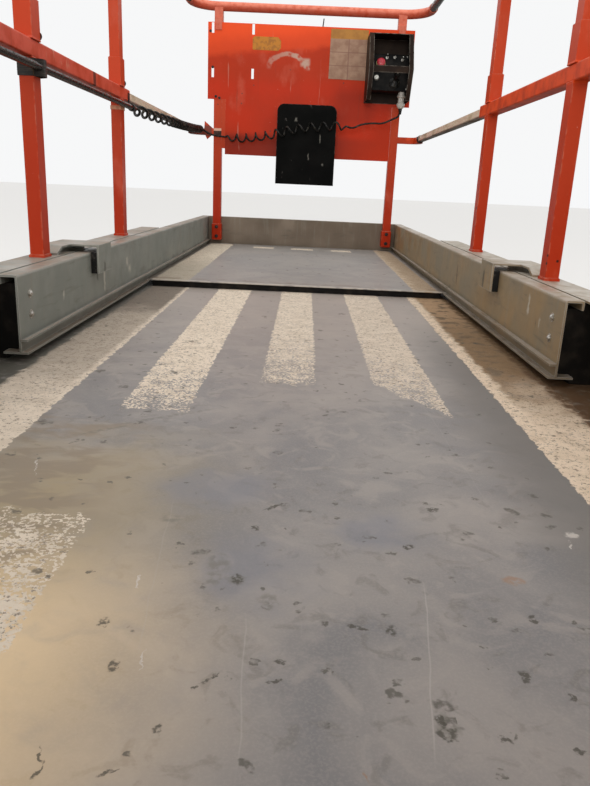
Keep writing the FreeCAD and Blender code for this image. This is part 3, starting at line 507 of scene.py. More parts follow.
def grit_strips(coat, colour, strips):
    """Pale grit in strips (left, right, rear, slant, front, cover at the rear, cover in front, tone)."""
    x, y = coat.axis("X"), coat.axis("Y")
    edge_x, edge_y = shifted(coat, x, 60, 0.020, 5), shifted(coat, y, 38, 0.090, 5)
    grain = coat.sum("ADD", coat.sum("MULTIPLY", coat.noise(205, 3, rough=0.6), 0.66),
                     coat.sum("MULTIPLY", coat.noise(36, 4), 0.34))
    cream = coat.over((0.690, 0.605, 0.495), (0.520, 0.445, 0.350), coat.step(coat.noise(30, 5), 0.42, 0.68))
    grit = None
    for left, right, rear, slant, front, bare_rear, bare_front, tone in strips:
        along = coat.sum("SUBTRACT", edge_y, coat.sum("MULTIPLY", coat.sum("SUBTRACT", x, left), slant))
        inside = coat.sum("MULTIPLY", coat.band(edge_x, left, right, 0.0008), coat.step(along, rear - 0.004, rear + 0.004))
        inside = coat.sum("MULTIPLY", inside, coat.step(edge_y, front + 0.003, front - 0.003))
        bar = coat.add("MapRange", {"Value": along, "From Min": rear, "From Max": rear + 0.45,
                                    "To Min": bare_rear, "To Max": bare_front}).outputs["Result"]
        held = coat.sum("MULTIPLY", inside, coat.step(coat.sum("SUBTRACT", grain, bar), -0.008, 0.010))
        colour = coat.over(colour, coat.over(cream, tone, 0.5), held)
        grit = held if grit is None else coat.sum("MAXIMUM", grit, held)
    pits = coat.step(coat.noise(170, 4, rough=0.75), 0.54, 0.62)
    colour = coat.over(colour, (0.170, 0.140, 0.108), coat.sum("MULTIPLY", coat.sum("MULTIPLY", pits, grit), 0.78))
    return colour, grit


def nearest_mark(coat, rows, place):
    """The distance to the nearest of the marks, which is 1 at its rim."""
    nearest = None
    for mark_x, mark_y, long, wide, angle in rows:
        local = coat.add("Mapping", {"Vector": place, "Location": (mark_x / 1000, mark_y / 1000, deck_top_z),
                                     "Rotation": (0, 0, math.radians(angle)),
                                     "Scale": (long / 1000, wide / 1000, 1.0)}, vector_type="TEXTURE").outputs[0]
        away = coat.add("VectorMath", {0: local}, operation="LENGTH").outputs["Value"]
        nearest = away if nearest is None else coat.sum("MINIMUM", nearest, away)
    return nearest


def small_stains(coat, colour, kinds):
    """Blots with ragged rims, some cells of a pattern in each of the kinds (scale, size, share)."""
    stains = None
    for scale, size, share in kinds:
        bent = coat.add("TexNoise", {"Vector": coat.place, "Scale": scale * 2.6, "Detail": 3.0}).outputs["Color"]
        shift = coat.add("VectorMath", {0: bent, 1: (0.5, 0.5, 0.5)}, operation="SUBTRACT").outputs[0]
        shift = coat.add("VectorMath", {0: shift, "Scale": 0.9 / scale}, operation="SCALE").outputs[0]
        where = coat.add("VectorMath", {0: coat.place, 1: shift}, operation="ADD").outputs[0]
        cell = coat.add("TexVoronoi", {"Vector": where, "Scale": scale}, feature="F1")
        chosen = coat.add("SeparateColor", {0: cell.outputs["Color"]}).outputs[0]
        blot = coat.sum("MULTIPLY", coat.step(cell.outputs["Distance"], size, size * 0.62),
                        coat.step(chosen, 1 - share, 1.02 - share))
        stains = blot if stains is None else coat.sum("MAXIMUM", stains, blot)
    speck = coat.step(coat.noise(130, 4), 0.34, 0.58)
    return coat.over(colour, (0.085, 0.080, 0.064), coat.sum("MULTIPLY", coat.sum("MULTIPLY", stains, speck), 0.8)), stains


def scratched(coat, colour, lines):
    """Long thin scratches through the paint: (x at the rear, x at the front, rear, front, how pale)."""
    x, y = coat.axis("X"), coat.axis("Y")
    wander = coat.sum("MULTIPLY", coat.sum("SUBTRACT", coat.noise(11, 3), 0.5), 0.010)
    for x_rear, x_front, rear, front, pale in lines:
        lean = (x_front - x_rear) / (front - rear)
        at = coat.sum("SUBTRACT", coat.sum("ADD", x, wander), coat.sum("MULTIPLY", y, lean))
        middle = x_rear - lean * rear
        line = coat.sum("MULTIPLY", coat.band(at, middle - 0.0005, middle + 0.0005, 0.0006),
                        coat.band(y, rear, front, 0.02))
        colour = coat.over(colour, (0.42, 0.40, 0.37), coat.sum("MULTIPLY", line, pale))
    return colour


coat, colour = grey_paint("deck_coat")
deck_x, deck_y = coat.axis("X"), coat.axis("Y")
# Painted reflection: the deck is painted lighter towards its far end, as the sky's sheen on it.
far_sky_reflection = coat.sum("MULTIPLY", coat.step(deck_y, -1.1, 0.1), 0.60)
colour = coat.over(colour, (0.400, 0.345, 0.300), far_sky_reflection)
right_shade = coat.sum("MULTIPLY", coat.step(shifted(coat, deck_x, 12, 0.06), 0.24, 0.34), coat.step(deck_y, 0.0, -0.6))
colour = coat.over(colour, (0.172, 0.163, 0.150), coat.sum("MULTIPLY", right_shade, 0.85))
tan = coat.sum("MULTIPLY", coat.step(shifted(coat, deck_x, 11, 0.07, 5), 0.02, -0.27),
               coat.step(shifted(coat, deck_y, 9, 0.30), -0.95, -1.25))
near_tan = coat.over((0.345, 0.280, 0.170), (0.860, 0.655, 0.375), coat.step(deck_y, -1.30, -1.50))
tan = coat.sum("MULTIPLY", tan, coat.step(coat.noise(30, 5, warp=0.6), -0.25, 0.55))
colour = coat.over(colour, near_tan, coat.sum("MULTIPLY", tan, 0.88))
smear = coat.sum("MULTIPLY", coat.band(deck_y, -1.42, -0.98, 0.06), coat.step(deck_x, -0.15, -0.24))
smear = coat.sum("MULTIPLY", smear, coat.step(coat.noise(13, 5, (1, 2.2, 1), warp=0.6), 0.44, 0.58))
colour = coat.over(colour, (0.235, 0.190, 0.138), coat.sum("MULTIPLY", smear, 0.66))
for blue_x, blue_y, reach in ((-0.068, -1.216, 0.075), (-0.023, -1.390, 0.085), (0.105, -1.300, 0.060)):
    from_x = coat.sum("SUBTRACT", shifted(coat, deck_x, 16, 0.12), blue_x)
    from_y = coat.sum("SUBTRACT", shifted(coat, deck_y, 15, 0.12), blue_y)
    blue = coat.sum("SQRT", coat.sum("ADD", coat.sum("MULTIPLY", from_x, from_x), coat.sum("MULTIPLY", from_y, from_y)))
    colour = coat.over(colour, (0.190, 0.199, 0.228), coat.sum("MULTIPLY", coat.step(blue, reach, reach * 0.2), 0.55))

whole, pale = 1.2, (0.69, 0.605, 0.495)
main_strips = [(-0.250, -0.145, -0.94, 0.0, whole, 0.515, 0.375, (0.80, 0.70, 0.57)),
               (-0.045, 0.051, -0.76, 0.0, whole, 0.520, 0.400, pale),
               (0.155, 0.263, -0.74, -1.54, whole, 0.505, 0.385, (0.60, 0.52, 0.425)),
               (-0.472, -0.348, -2.4, 0.0, whole, 0.40, 0.38, pale),
               (0.360, 0.485, -2.4, 0.0, whole, 0.41, 0.38, (0.76, 0.60, 0.43)),
               (-0.300, -0.185, -1.53, 0.0, -1.29, 0.445, 0.610, (0.68, 0.62, 0.51))]
colour, grit = grit_strips(coat, colour, main_strips)
forward_y = shifted(coat, deck_y, 8, 0.5, 5)
dirt_left = coat.sum("MAXIMUM", coat.sum("MULTIPLY", coat.step(forward_y, -1.00, -0.62), 0.52),
                     coat.step(forward_y, -0.42, 0.02))
dirt_left = coat.sum("MULTIPLY", dirt_left, coat.step(shifted(coat, deck_x, 40, 0.02), -0.352, -0.366))
colour = coat.over(colour, (0.165, 0.140, 0.115), coat.sum("MULTIPLY", dirt_left, 0.88))
dirt_right = coat.sum("MULTIPLY", coat.step(shifted(coat, deck_y, 8, 0.4, 5), -1.00, -0.58),
                      coat.step(shifted(coat, deck_x, 40, 0.03), 0.378, 0.394))
brown = coat.over((0.190, 0.116, 0.053), (0.370, 0.238, 0.130), coat.step(deck_y, -0.35, 0.20))
mottled = coat.over(brown, (0.105, 0.068, 0.036), coat.step(coat.noise(28, 5), 0.47, 0.66))
colour = coat.over(colour, mottled, coat.sum("MULTIPLY", dirt_right, 0.90))

# A dark band along the beams' feet: grime in the gutter and painted shade under the beams' lips.
away_x = shifted(coat, coat.sum("ABSOLUTE", deck_x), 22, 0.030, 5)
gutter = coat.sum("MULTIPLY", coat.step(away_x, 0.462, 0.476), coat.step(coat.noise(48, 5), 0.30, 0.50))
slate = coat.over((0.080, 0.078, 0.062), (0.140, 0.138, 0.120), coat.step(deck_y, -1.2, 0.3))
brown_gutter_tone = coat.over((0.098, 0.053, 0.026), (0.120, 0.070, 0.032), coat.step(deck_y, -1.2, 0.3))
colour = coat.over(colour, coat.over(slate, brown_gutter_tone, coat.step(deck_x, -0.1, 0.1)), coat.sum("MULTIPLY", gutter, 0.92))

bent = coat.add("TexNoise", {"Vector": coat.place, "Scale": 150.0, "Detail": 4.0}).outputs["Color"]
bent = coat.add("VectorMath", {0: bent, 1: (0.5, 0.5, 0.5)}, operation="SUBTRACT").outputs[0]
bent = coat.add("VectorMath", {0: bent, "Scale": 0.011}, operation="SCALE").outputs[0]
on_deck = coat.add("VectorMath", {0: coat.place, 1: bent}, operation="ADD").outputs[0]
colour, stains = small_stains(coat, colour, ((15.0, 0.20, 0.13), (30.0, 0.23, 0.17), (58.0, 0.25, 0.15)))
soft = coat.sum("MULTIPLY", coat.step(nearest_mark(coat, soft_stains, on_deck), 1.15, 0.5),
                coat.step(coat.noise(110, 4), 0.40, 0.60))
colour = coat.over(colour, (0.150, 0.145, 0.120), coat.sum("MULTIPLY", soft, 0.55))
hard = coat.sum("MULTIPLY", coat.step(nearest_mark(coat, hard_stains, on_deck), 1.25, 0.75),
                coat.step(coat.noise(240, 3), 0.34, 0.54))
colour = coat.over(colour, (0.072, 0.068, 0.054), coat.sum("MULTIPLY", hard, 0.82))
for rows, tone, amount in ((pale_marks, (0.56, 0.53, 0.48), 0.8), (rust_marks, (0.29, 0.19, 0.13), 0.8)):
    mark = coat.step(nearest_mark(coat, rows, on_deck), 1.05, 0.65)
    mark = coat.sum("MULTIPLY", mark, coat.step(coat.noise(90, 4), 0.36, 0.54))
    colour = coat.over(colour, tone, coat.sum("MULTIPLY", mark, amount))
colour = scratched(coat, colour, [(0.117, 0.140, -1.59, -1.40, 0.50), (-0.0055, -0.013, -1.60, -1.46, 0.38),
                                  (-0.09, -0.11, -1.50, -1.25, 0.18), (0.24, 0.22, -1.20, -0.70, 0.15)])
coat.relief(coat.sum("ADD", coat.sum("MULTIPLY", grit, coat.step(coat.noise(420, 2), 0.2, 0.8)),
                     coat.sum("MULTIPLY", coat.noise(60, 3), 0.12)), 0.45, 0.0010)
deck_coat = coat.done(colour, coat.step(coat.sum("MAXIMUM", grit, coat.sum("MULTIPLY", hard, 0.5)), -1.35, 1.5))
eased("deck_plate", 0.0006, deck_coat, "deck_paint", "platform", "main_deck")


# Side beams and keepers: galvanised sheet folded into deep channels, the left one cooler and the right one
# browner. The keepers are welded on top and hook over the inner beams with black nylon pads between.
zinc_marks = [(-1, -0.147, -0.137, 0.158, 0.207), (-1, 0.084, 0.104, 0.196, 0.216), (-1, 0.108, 0.136, 0.176, 0.192),
              (-1, -0.46, -0.45, 0.185, 0.20), (1, -0.500, -0.490, 0.206, 0.244), (1, -0.575, -0.570, 0.190, 0.208)]
# Dark patches on the beams' webs, each (side, rear, front, bottom, top).
dark_web_marks = [(-1, -0.208, -0.196, 0.190, 0.236), (1, 0.212, 0.222, 0.170, 0.224), (1, -0.186, -0.172, 0.205, 0.255),
              (-1, -0.150, -0.146, 0.208, 0.214), (1, -0.556, -0.550, 0.190, 0.200)]


def galvanised(name, cool, warm, marks=True, groove_grease_and_shade=0.0):
    """Dull zinc, cool on the left and warm on the right, with dust on top and a painted sheen there. Its last argument
    sets how black its low groove is painted, for grease and painted shade.
    """
    zinc = Finish(name, 0.5, 0.25, 0.3)
    x, y, z = zinc.axis("X"), zinc.axis("Y"), zinc.axis("Z")
    colour = zinc.over(cool, warm, zinc.step(x, -0.2, 0.2))
    cloud = zinc.step(zinc.noise(7, 4), 0.30, 0.70)
    colour = zinc.over(colour, tuple(0.80 * v for v in cool), zinc.sum("MULTIPLY", cloud, 0.55))
    runs = zinc.step(zinc.noise(1.0, 4, (70, 70, 5), warp=0.2), 0.52, 0.70)
    colour = zinc.over(colour, (0.240, 0.225, 0.185), zinc.sum("MULTIPLY", runs, 0.38))
    smear = zinc.step(zinc.noise(3.0, 5, (3, 3, 22), warp=0.5), 0.55, 0.72)
    colour = zinc.over(colour, (0.105, 0.095, 0.075), zinc.sum("MULTIPLY", smear, 0.40))
    low = zinc.sum("MULTIPLY", zinc.step(zinc.sum("ADD", z, zinc.sum("MULTIPLY", zinc.noise(18, 4), 0.03)), 0.175, 0.125),
                   0.50)
    colour = zinc.over(colour, (0.120, 0.098, 0.068), low)
    # Up-facing faces are painted lighter: dust, and a painted sheen of the sky on the tops.
    facing = zinc.add("SeparateXYZ", {0: zinc.add("NewGeometry", {}).outputs["Normal"]}).outputs["Z"]
    dust_and_sheen_mask = zinc.sum("MULTIPLY", zinc.step(facing, 0.4, 0.9), zinc.step(zinc.noise(30, 5), 0.22, 0.60))
    left_dust_and_sheen = zinc.over((0.320, 0.275, 0.220), (0.350, 0.270, 0.210), zinc.step(y, -0.80, 0.10))
    dust = zinc.over(left_dust_and_sheen, (0.480, 0.445, 0.385), zinc.step(x, -0.2, 0.2))
    inner_edge = zinc.step(zinc.sum("ADD", zinc.sum("ABSOLUTE", x), zinc.sum("MULTIPLY", zinc.noise(40, 4), 0.02)), 0.532, 0.522)
    dust = zinc.over(dust, (0.310, 0.225, 0.160), zinc.sum("MULTIPLY", inner_edge, 0.4))
    colour = zinc.over(colour, dust, zinc.sum("MULTIPLY", dust_and_sheen_mask, 0.88))
    if marks:
        wander_y = zinc.sum("MULTIPLY", zinc.sum("SUBTRACT", zinc.noise(85, 4), 0.5), 0.020)
        wander_z = zinc.sum("MULTIPLY", zinc.sum("SUBTRACT", zinc.noise(85, 4, move=(4, 0, 0)), 0.5), 0.020)
        for places, tone, amount in ((zinc_marks, (0.55, 0.53, 0.46), 0.75), (dark_web_marks, (0.045, 0.04, 0.03), 0.70)):
            for side, rear, front, bottom, top in places:
                spot = zinc.sum("MULTIPLY", zinc.band(zinc.sum("ADD", y, wander_y), rear, front, 0.004),
                                zinc.band(zinc.sum("ADD", z, wander_z), bottom, top, 0.006))
                spot = zinc.sum("MULTIPLY", spot, zinc.step(zinc.sum("MULTIPLY", x, float(side)), 0.40, 0.45))
                colour = zinc.over(colour, tone, zinc.sum("MULTIPLY", spot, amount))
    bright = zinc.edges(0.0025)
    colour = zinc.over(colour, (0.42, 0.41, 0.37), zinc.sum("MULTIPLY", bright, 0.55))
    if groove_grease_and_shade:
        # Grease and painted shade in the low groove.
        groove = zinc.sum("MULTIPLY", zinc.step(z, 0.156, 0.146), groove_grease_and_shade)
        colour = zinc.over(colour, (0.030, 0.026, 0.020), groove)
    zinc.relief(zinc.sum("ADD", zinc.noise(300, 2), zinc.sum("MULTIPLY", zinc.noise(14, 3), 1.5)), 0.12, 0.0008)
    return zinc.done(colour, zinc.step(cloud, -1.6, 2.4))


beam_zinc = galvanised("beam_zinc", (0.240, 0.255, 0.226), (0.315, 0.215, 0.105))
eased("side_beams", 0.0008, beam_zinc, "galvanised_steel", "platform", "outer_beam_left", "outer_beam_right")
eased("keepers", 0.0010, beam_zinc, "galvanised_steel", "platform", "keeper_left", "keeper_right", shortest=0.02)

pad = Finish("black_nylon", 0.42, shine=0.12)
scuff = pad.step(pad.noise(90, 4, (1, 0.2, 1)), 0.52, 0.70)
pad.relief(pad.noise(500, 2), 0.2, 0.0003)
black_nylon = pad.done(pad.over((0.010, 0.010, 0.010), (0.060, 0.054, 0.045), scuff))
eased("guide_pads", 0.0010, black_nylon, "nylon", "platform", "keeper_pads", "front_slide_pads", shortest=0.01)


# Guard rails of the platform: square posts welded to foot plates on the beams, square middle rails and round
# top rails. Steel in orange-red paint with painted shade lower down, faded and dusty on top with a painted highlight on
# the top rails' upper side, chipped at the edges and scuffed.


def orange(name, upper_colour, low, z_low, z_high):
    """Orange-red paint that blends from low at z_low to the upper colour at z_high, with chips and rubbed edges."""
    paint = Finish(name, 0.38, shine=0.12)
    z = paint.axis("Z")
    height = paint.step(z, z_low, z_high)
    colour = paint.over(low, upper_colour, height)
    patch = paint.step(paint.noise(5.5, 4), 0.35, 0.70)
    colour = paint.over(colour, tuple(0.80 * v for v in upper_colour), paint.sum("MULTIPLY", patch, 0.45))
    fade = paint.step(paint.noise(11, 5, (1, 0.5, 0.6)), 0.55, 0.76)
    colour = paint.over(colour, (0.66, 0.150, 0.090), paint.sum("MULTIPLY", fade, 0.42))
    facing = paint.add("SeparateXYZ", {0: paint.add("NewGeometry", {}).outputs["Normal"]}).outputs["Z"]
    dust = paint.sum("MULTIPLY", paint.step(facing, 0.3, 0.9), paint.step(paint.noise(40, 4), 0.30, 0.62))
    colour = paint.over(colour, (0.42, 0.185, 0.130), paint.sum("MULTIPLY", dust, 0.80))
    streak = paint.step(paint.noise(9, 5, (6, 6, 0.35), warp=0.2), 0.62, 0.74)
    colour = paint.over(colour, (0.20, 0.045, 0.022), paint.sum("MULTIPLY", streak, 0.40))
    scrape = paint.step(paint.noise(16, 4, (7, 0.9, 9), warp=0.25), 0.70, 0.76)
    colour = paint.over(colour, (0.72, 0.42, 0.33), paint.sum("MULTIPLY", scrape, 0.55))
    cell = paint.add("TexVoronoi", {"Vector": paint.place, "Scale": 34.0}, feature="F1")
    drawn = paint.add("SeparateColor", {0: cell.outputs["Color"]}).outputs[0]
    chip = paint.sum("MULTIPLY", paint.step(cell.outputs["Distance"], 0.16, 0.09), paint.step(drawn, 0.90, 0.93))
    colour = paint.over(colour, (0.085, 0.055, 0.045), paint.sum("MULTIPLY", chip, 0.9))
    rubbed = paint.sum("MULTIPLY", paint.edges(0.003), paint.step(paint.noise(55, 5), 0.46, 0.62))
    colour = paint.over(colour, (0.60, 0.26, 0.17), paint.sum("MULTIPLY", rubbed, 0.36))
    paint.relief(paint.sum("SUBTRACT", paint.sum("MULTIPLY", paint.noise(130, 2), 0.35), chip), 0.16, 0.0008)
    return paint, colour, facing


# Painted shade: the rails' paint darkens from z 0.85 down to z 0.25.
paint, colour, facing = orange("rail_orange", (0.60, 0.063, 0.018), (0.400, 0.022, 0.002), 0.25, 0.85)
# The top rails are chalky, and their upward side is painted lighter as a painted highlight.
chalky = paint.sum("MULTIPLY", paint.step(paint.axis("Z"), 1.08, 1.18), paint.step(paint.noise(40, 5), 0.10, 0.62))
chalk_and_top_highlight = paint.over((0.660, 0.135, 0.080), (0.930, 0.300, 0.200), paint.step(facing, -0.45, 0.40))
colour = paint.over(colour, chalk_and_top_highlight, paint.sum("MULTIPLY", chalky, 0.88))
handled = paint.sum("MULTIPLY", paint.band(paint.axis("Z"), 0.660, 0.702, 0.002), paint.step(paint.noise(22, 5), 0.32, 0.60))
handled = paint.sum("MULTIPLY", handled, paint.step(paint.sum("ABSOLUTE", paint.axis("X")), 0.500, 0.515))
side_tone = paint.over((0.760, 0.130, 0.080), (0.900, 0.105, 0.022), paint.step(paint.axis("X"), -0.1, 0.1))
colour = paint.over(colour, side_tone, paint.sum("MULTIPLY", handled, 0.65))
dim_arm = paint.sum("MULTIPLY", paint.band(paint.axis("Z"), 0.655, 0.705, 0.002), paint.step(paint.axis("X"), -0.468, -0.476))
colour = paint.over(colour, (0.240, 0.058, 0.040), paint.sum("MULTIPLY", dim_arm, paint.step(paint.axis("Y"), 1.62, 1.66)))
y_mark, z_mark = paint.axis("Y"), paint.axis("Z")
inner_left = paint.step(paint.axis("X"), -0.50, -0.53)
tape = paint.sum("MULTIPLY", paint.band(y_mark, 0.012, 0.036, 0.001), paint.sum("MULTIPLY", inner_left,
                                                                              paint.band(z_mark, 0.66, 0.70, 0.001)))
colour = paint.over(colour, (0.075, 0.024, 0.014), paint.sum("MULTIPLY", tape, 0.85))
rub = paint.sum("MULTIPLY", paint.band(y_mark, -0.33, -0.16, 0.03), paint.band(z_mark, 0.675, 0.70, 0.006))
lines = paint.step(paint.noise(30, 4, (1, 4, 0.7)), 0.56, 0.66)
rub = paint.sum("MULTIPLY", paint.sum("MULTIPLY", rub, inner_left), paint.sum("MULTIPLY", lines, 0.6))
colour = paint.over(colour, (0.66, 0.40, 0.30), rub)
# Near-black spots stand for small holes: painted shade in their openings.
for x_hole, y_hole, z_hole in ((-0.5450, 0.2965, 0.765), (0.5450, 0.2965, 0.395), (0.5450, -0.4050, 0.317),
                               (0.5450, -0.4050, 0.300), (0.5665, -0.4100, 0.306)):
    near = paint.sum("MULTIPLY", paint.band(y_mark, y_hole - 0.004, y_hole + 0.004, 0.001),
                     paint.band(z_mark, z_hole - 0.0025, z_hole + 0.0025, 0.001))
    near = paint.sum("MULTIPLY", near, paint.band(paint.axis("X"), x_hole - 0.0025, x_hole + 0.0025, 0.001))
    colour = paint.over(colour, (0.02, 0.012, 0.01), near)
rail_orange = paint.done(colour)
for side in ("left", "right"):
    eased("posts_" + side, 0.0045, rail_orange, "orange_paint", "platform", "lower_posts_" + side,
          "upper_posts_" + side)
    eased("middle_rail_" + side, 0.0040, rail_orange, "orange_paint", "platform", "mid_rail_" + side)
eased("gate_side_posts", 0.0045, rail_orange, "orange_paint", "platform", "gate_posts")
eased("rear_rails", 0.0040, rail_orange, "orange_paint", "platform", "rear_mid_rails")
eased("rear_boards", 0.0008, beam_zinc, "galvanised_steel", "platform", "rear_toe_boards", shortest=0.02)
dress(rail_orange, "top_rail_left", "top_rail_right", "gate_stop")


def node_tree(name, inputs):
    """A Geometry Nodes tree with a geometry input, named inputs and one geometry output."""
    tree = bpy.data.node_groups.new(name, "GeometryNodeTree")
    tree.interface.new_socket("Geometry", in_out="INPUT", socket_type="NodeSocketGeometry")
    for label, kind in inputs:
        tree.interface.new_socket(label, in_out="INPUT", socket_type="NodeSocket" + kind)
    tree.interface.new_socket("Geometry", in_out="OUTPUT", socket_type="NodeSocketGeometry")
    return tree, tree.nodes.new("NodeGroupInput").outputs, tree.nodes.new("NodeGroupOutput").inputs


def grow(tree, kind, values, **settings):
    node = tree.nodes.new(kind)
    for key, value in settings.items():
        setattr(node, key, value)
    for key, value in values.items():
        if isinstance(value, bpy.types.NodeSocket):
            tree.links.new(value, node.inputs[key])
        else:
            node.inputs[key].default_value = value
    return node


# The bead of a weld: a round ripple of steel along the joint.
bead_tree, given, result = node_tree("weld_bead", [("Radius", "Float"), ("Ripple", "Float"), ("Finish", "Material")])
seam = grow(bead_tree, "GeometryNodeMeshToCurve", {"Mesh": given["Geometry"]}).outputs[0]
seam = grow(bead_tree, "GeometryNodeResampleCurve", {"Curve": seam, "Length": 0.0022}, mode="LENGTH").outputs[0]
circle = grow(bead_tree, "GeometryNodeCurvePrimitiveCircle", {"Resolution": 8, "Radius": given["Radius"]}).outputs[0]
bead = grow(bead_tree, "GeometryNodeCurveToMesh", {"Curve": seam, "Profile Curve": circle}).outputs[0]
lump = grow(bead_tree, "ShaderNodeTexNoise", {"Scale": 260.0, "Detail": 1.0}).outputs["Fac"]
lump = grow(bead_tree, "ShaderNodeMath", {0: lump, 1: 0.5}, operation="SUBTRACT").outputs[0]
lump = grow(bead_tree, "ShaderNodeMath", {0: lump, 1: given["Ripple"]}, operation="MULTIPLY").outputs[0]
outwards = grow(bead_tree, "GeometryNodeInputNormal", {}).outputs[0]
push = grow(bead_tree, "ShaderNodeVectorMath", {0: outwards, "Scale": lump}, operation="SCALE").outputs[0]
bead = grow(bead_tree, "GeometryNodeSetPosition", {"Geometry": bead, "Offset": push}).outputs[0]
bead = grow(bead_tree, "GeometryNodeRealizeInstances", {"Geometry": bead}).outputs[0]
bead = grow(bead_tree, "GeometryNodeSetMaterial", {"Geometry": bead, "Material": given["Finish"]}).outputs[0]
bead_tree.links.new(bead, result[0])


def grown(name, seed_mesh, tree, values, material, body, slot):
    """Runs a tree on a mesh of points or lines and keeps the result as a plain mesh on a body."""
    holder = bpy.data.objects.new(name + "_seed", seed_mesh)
    scene.collection.objects.link(holder)
    modifier = holder.modifiers.new("grow", "NODES")
    modifier.node_group = tree
    sockets = {item.name: item.identifier for item in tree.interface.items_tree if item.in_out == "INPUT"}
    for label, value in values.items():
        modifier[sockets[label]] = value
    modifier[sockets["Finish"]] = material
    mesh = bpy.data.meshes.new_from_object(holder.evaluated_get(bpy.context.evaluated_depsgraph_get()))
    mesh.name = name
    bpy.data.objects.remove(holder)
    mesh.shade_smooth()
    mesh.set_sharp_from_angle(angle=math.radians(40))
    return place_piece(name, mesh, material, body, slot)


def seams(name, loops, material, body, slot, radius=0.0022, ripple=0.0012):
    """Weld beads along closed loops of points."""
    spots, edges = [], []
    for loop in loops:
        first = len(spots)
        spots += loop
        edges += [(first + i, first + (i + 1) % len(loop)) for i in range(len(loop))]
    seed = bpy.data.meshes.new(name + "_seed")
    seed.from_pydata(spots, edges, [])
    return grown(name, seed, bead_tree, {"Radius": radius, "Ripple": ripple}, material, body, slot)


def ring_about(x, y, z, half_x, half_y):
    return [(x - half_x, y - half_y, z), (x + half_x, y - half_y, z), (x + half_x, y + half_y, z),
            (x - half_x, y + half_y, z)]


post_x, post_half_x, post_half_y = 0.560, 0.0152, 0.0202
post_y = (0.3055, -0.3895, -1.0845)
foot_top, rail_foot, rail_top, cuff_top = 0.2682, 0.6632, 0.6988, 0.7737
rings = []
for side in (-1, 1):
    for y in post_y:
        for z, half_x, half_y in ((foot_top, post_half_x, post_half_y), (rail_foot, 0.0142, post_half_y),
                                  (rail_top, 0.0172, 0.0232), (cuff_top, post_half_x, post_half_y)):
            rings.append(ring_about(side * post_x, y, z, half_x, half_y))
seams("post_welds", rings, rail_orange, "platform", "orange_paint", radius=0.0017, ripple=0.0010)


# Bolts and screws: a flat washer under a domed or six-sided head, one tree for all of them.
bolt_tree, given, result = node_tree("bolt", [("Width", "Float"), ("Height", "Float"), ("Sides", "Int"),
                                              ("Dome", "Float"), ("Finish", "Material")])
half = grow(bolt_tree, "ShaderNodeMath", {0: given["Width"], 1: 0.5}, operation="MULTIPLY").outputs[0]
washer_wide = grow(bolt_tree, "ShaderNodeMath", {0: half, 1: 1.38}, operation="MULTIPLY").outputs[0]
washer = grow(bolt_tree, "GeometryNodeMeshCylinder", {"Vertices": 24, "Radius": washer_wide, "Depth": 0.0016}).outputs[0]
head = grow(bolt_tree, "GeometryNodeMeshCylinder", {"Vertices": given["Sides"], "Radius": half,
                                                    "Depth": given["Height"]}).outputs[0]
rise = grow(bolt_tree, "ShaderNodeMath", {0: given["Height"], 1: 0.5}, operation="MULTIPLY").outputs[0]
lift = grow(bolt_tree, "ShaderNodeCombineXYZ", {"Z": rise}).outputs[0]
head = grow(bolt_tree, "GeometryNodeTransform", {"Geometry": head, "Translation": lift}).outputs[0]
ball = grow(bolt_tree, "GeometryNodeMeshUVSphere", {"Segments": 20, "Rings": 8, "Radius": half}).outputs[0]
squat = grow(bolt_tree, "ShaderNodeCombineXYZ", {"X": 0.92, "Y": 0.92, "Z": given["Dome"]}).outputs[0]
top = grow(bolt_tree, "ShaderNodeCombineXYZ", {"Z": given["Height"]}).outputs[0]
ball = grow(bolt_tree, "GeometryNodeTransform", {"Geometry": ball, "Scale": squat, "Translation": top}).outputs[0]
join = bolt_tree.nodes.new("GeometryNodeJoinGeometry")
for part in (washer, head, ball):
    bolt_tree.links.new(part, join.inputs[0])
way = grow(bolt_tree, "GeometryNodeInputNamedAttribute", {"Name": "facing"}, data_type="FLOAT_VECTOR").outputs[0]
turned = grow(bolt_tree, "FunctionNodeAlignRotationToVector", {"Vector": way}, axis="Z").outputs[0]
many = grow(bolt_tree, "GeometryNodeInstanceOnPoints", {"Points": given["Geometry"], "Instance": join.outputs[0],
                                                        "Rotation": turned}).outputs[0]
many = grow(bolt_tree, "GeometryNodeRealizeInstances", {"Geometry": many}).outputs[0]
many = grow(bolt_tree, "GeometryNodeSetMaterial", {"Geometry": many, "Material": given["Finish"]}).outputs[0]
bolt_tree.links.new(many, result[0])


def bolts(name, places, width, height, material, body, slot, sides=6, dome=0.35):
    """places is a list of (point, facing)."""
    seed = bpy.data.meshes.new(name + "_seed")
    seed.from_pydata([place for place, facing in places], [], [])
    facing = seed.attributes.new("facing", "FLOAT_VECTOR", "POINT")
    facing.data.foreach_set("vector", [v for place, way in places for v in way])
    values = {"Width": width, "Height": height, "Sides": sides, "Dome": dome}
    return grown(name, seed, bolt_tree, values, material, body, slot)


steel = Finish("bolt_steel", 0.30, 0.85)
tarnish = steel.step(steel.noise(260, 3), 0.40, 0.72)
bolt_steel = steel.done(steel.over((0.55, 0.54, 0.50), (0.20, 0.17, 0.13), tarnish), steel.step(tarnish, -0.9, 2.0))
knob = Finish("black_steel", 0.45, shine=0.25)
black_steel = knob.done(knob.over((0.014, 0.014, 0.014), (0.09, 0.06, 0.045), knob.step(knob.noise(200, 3), 0.5, 0.75)))
bolts("post_clamp_bolts", [((-0.5475, y + 0.0230, 0.7085), (0, 1, 0)) for y in post_y[:2]], 0.013, 0.008,
      black_steel, "platform", "nylon")


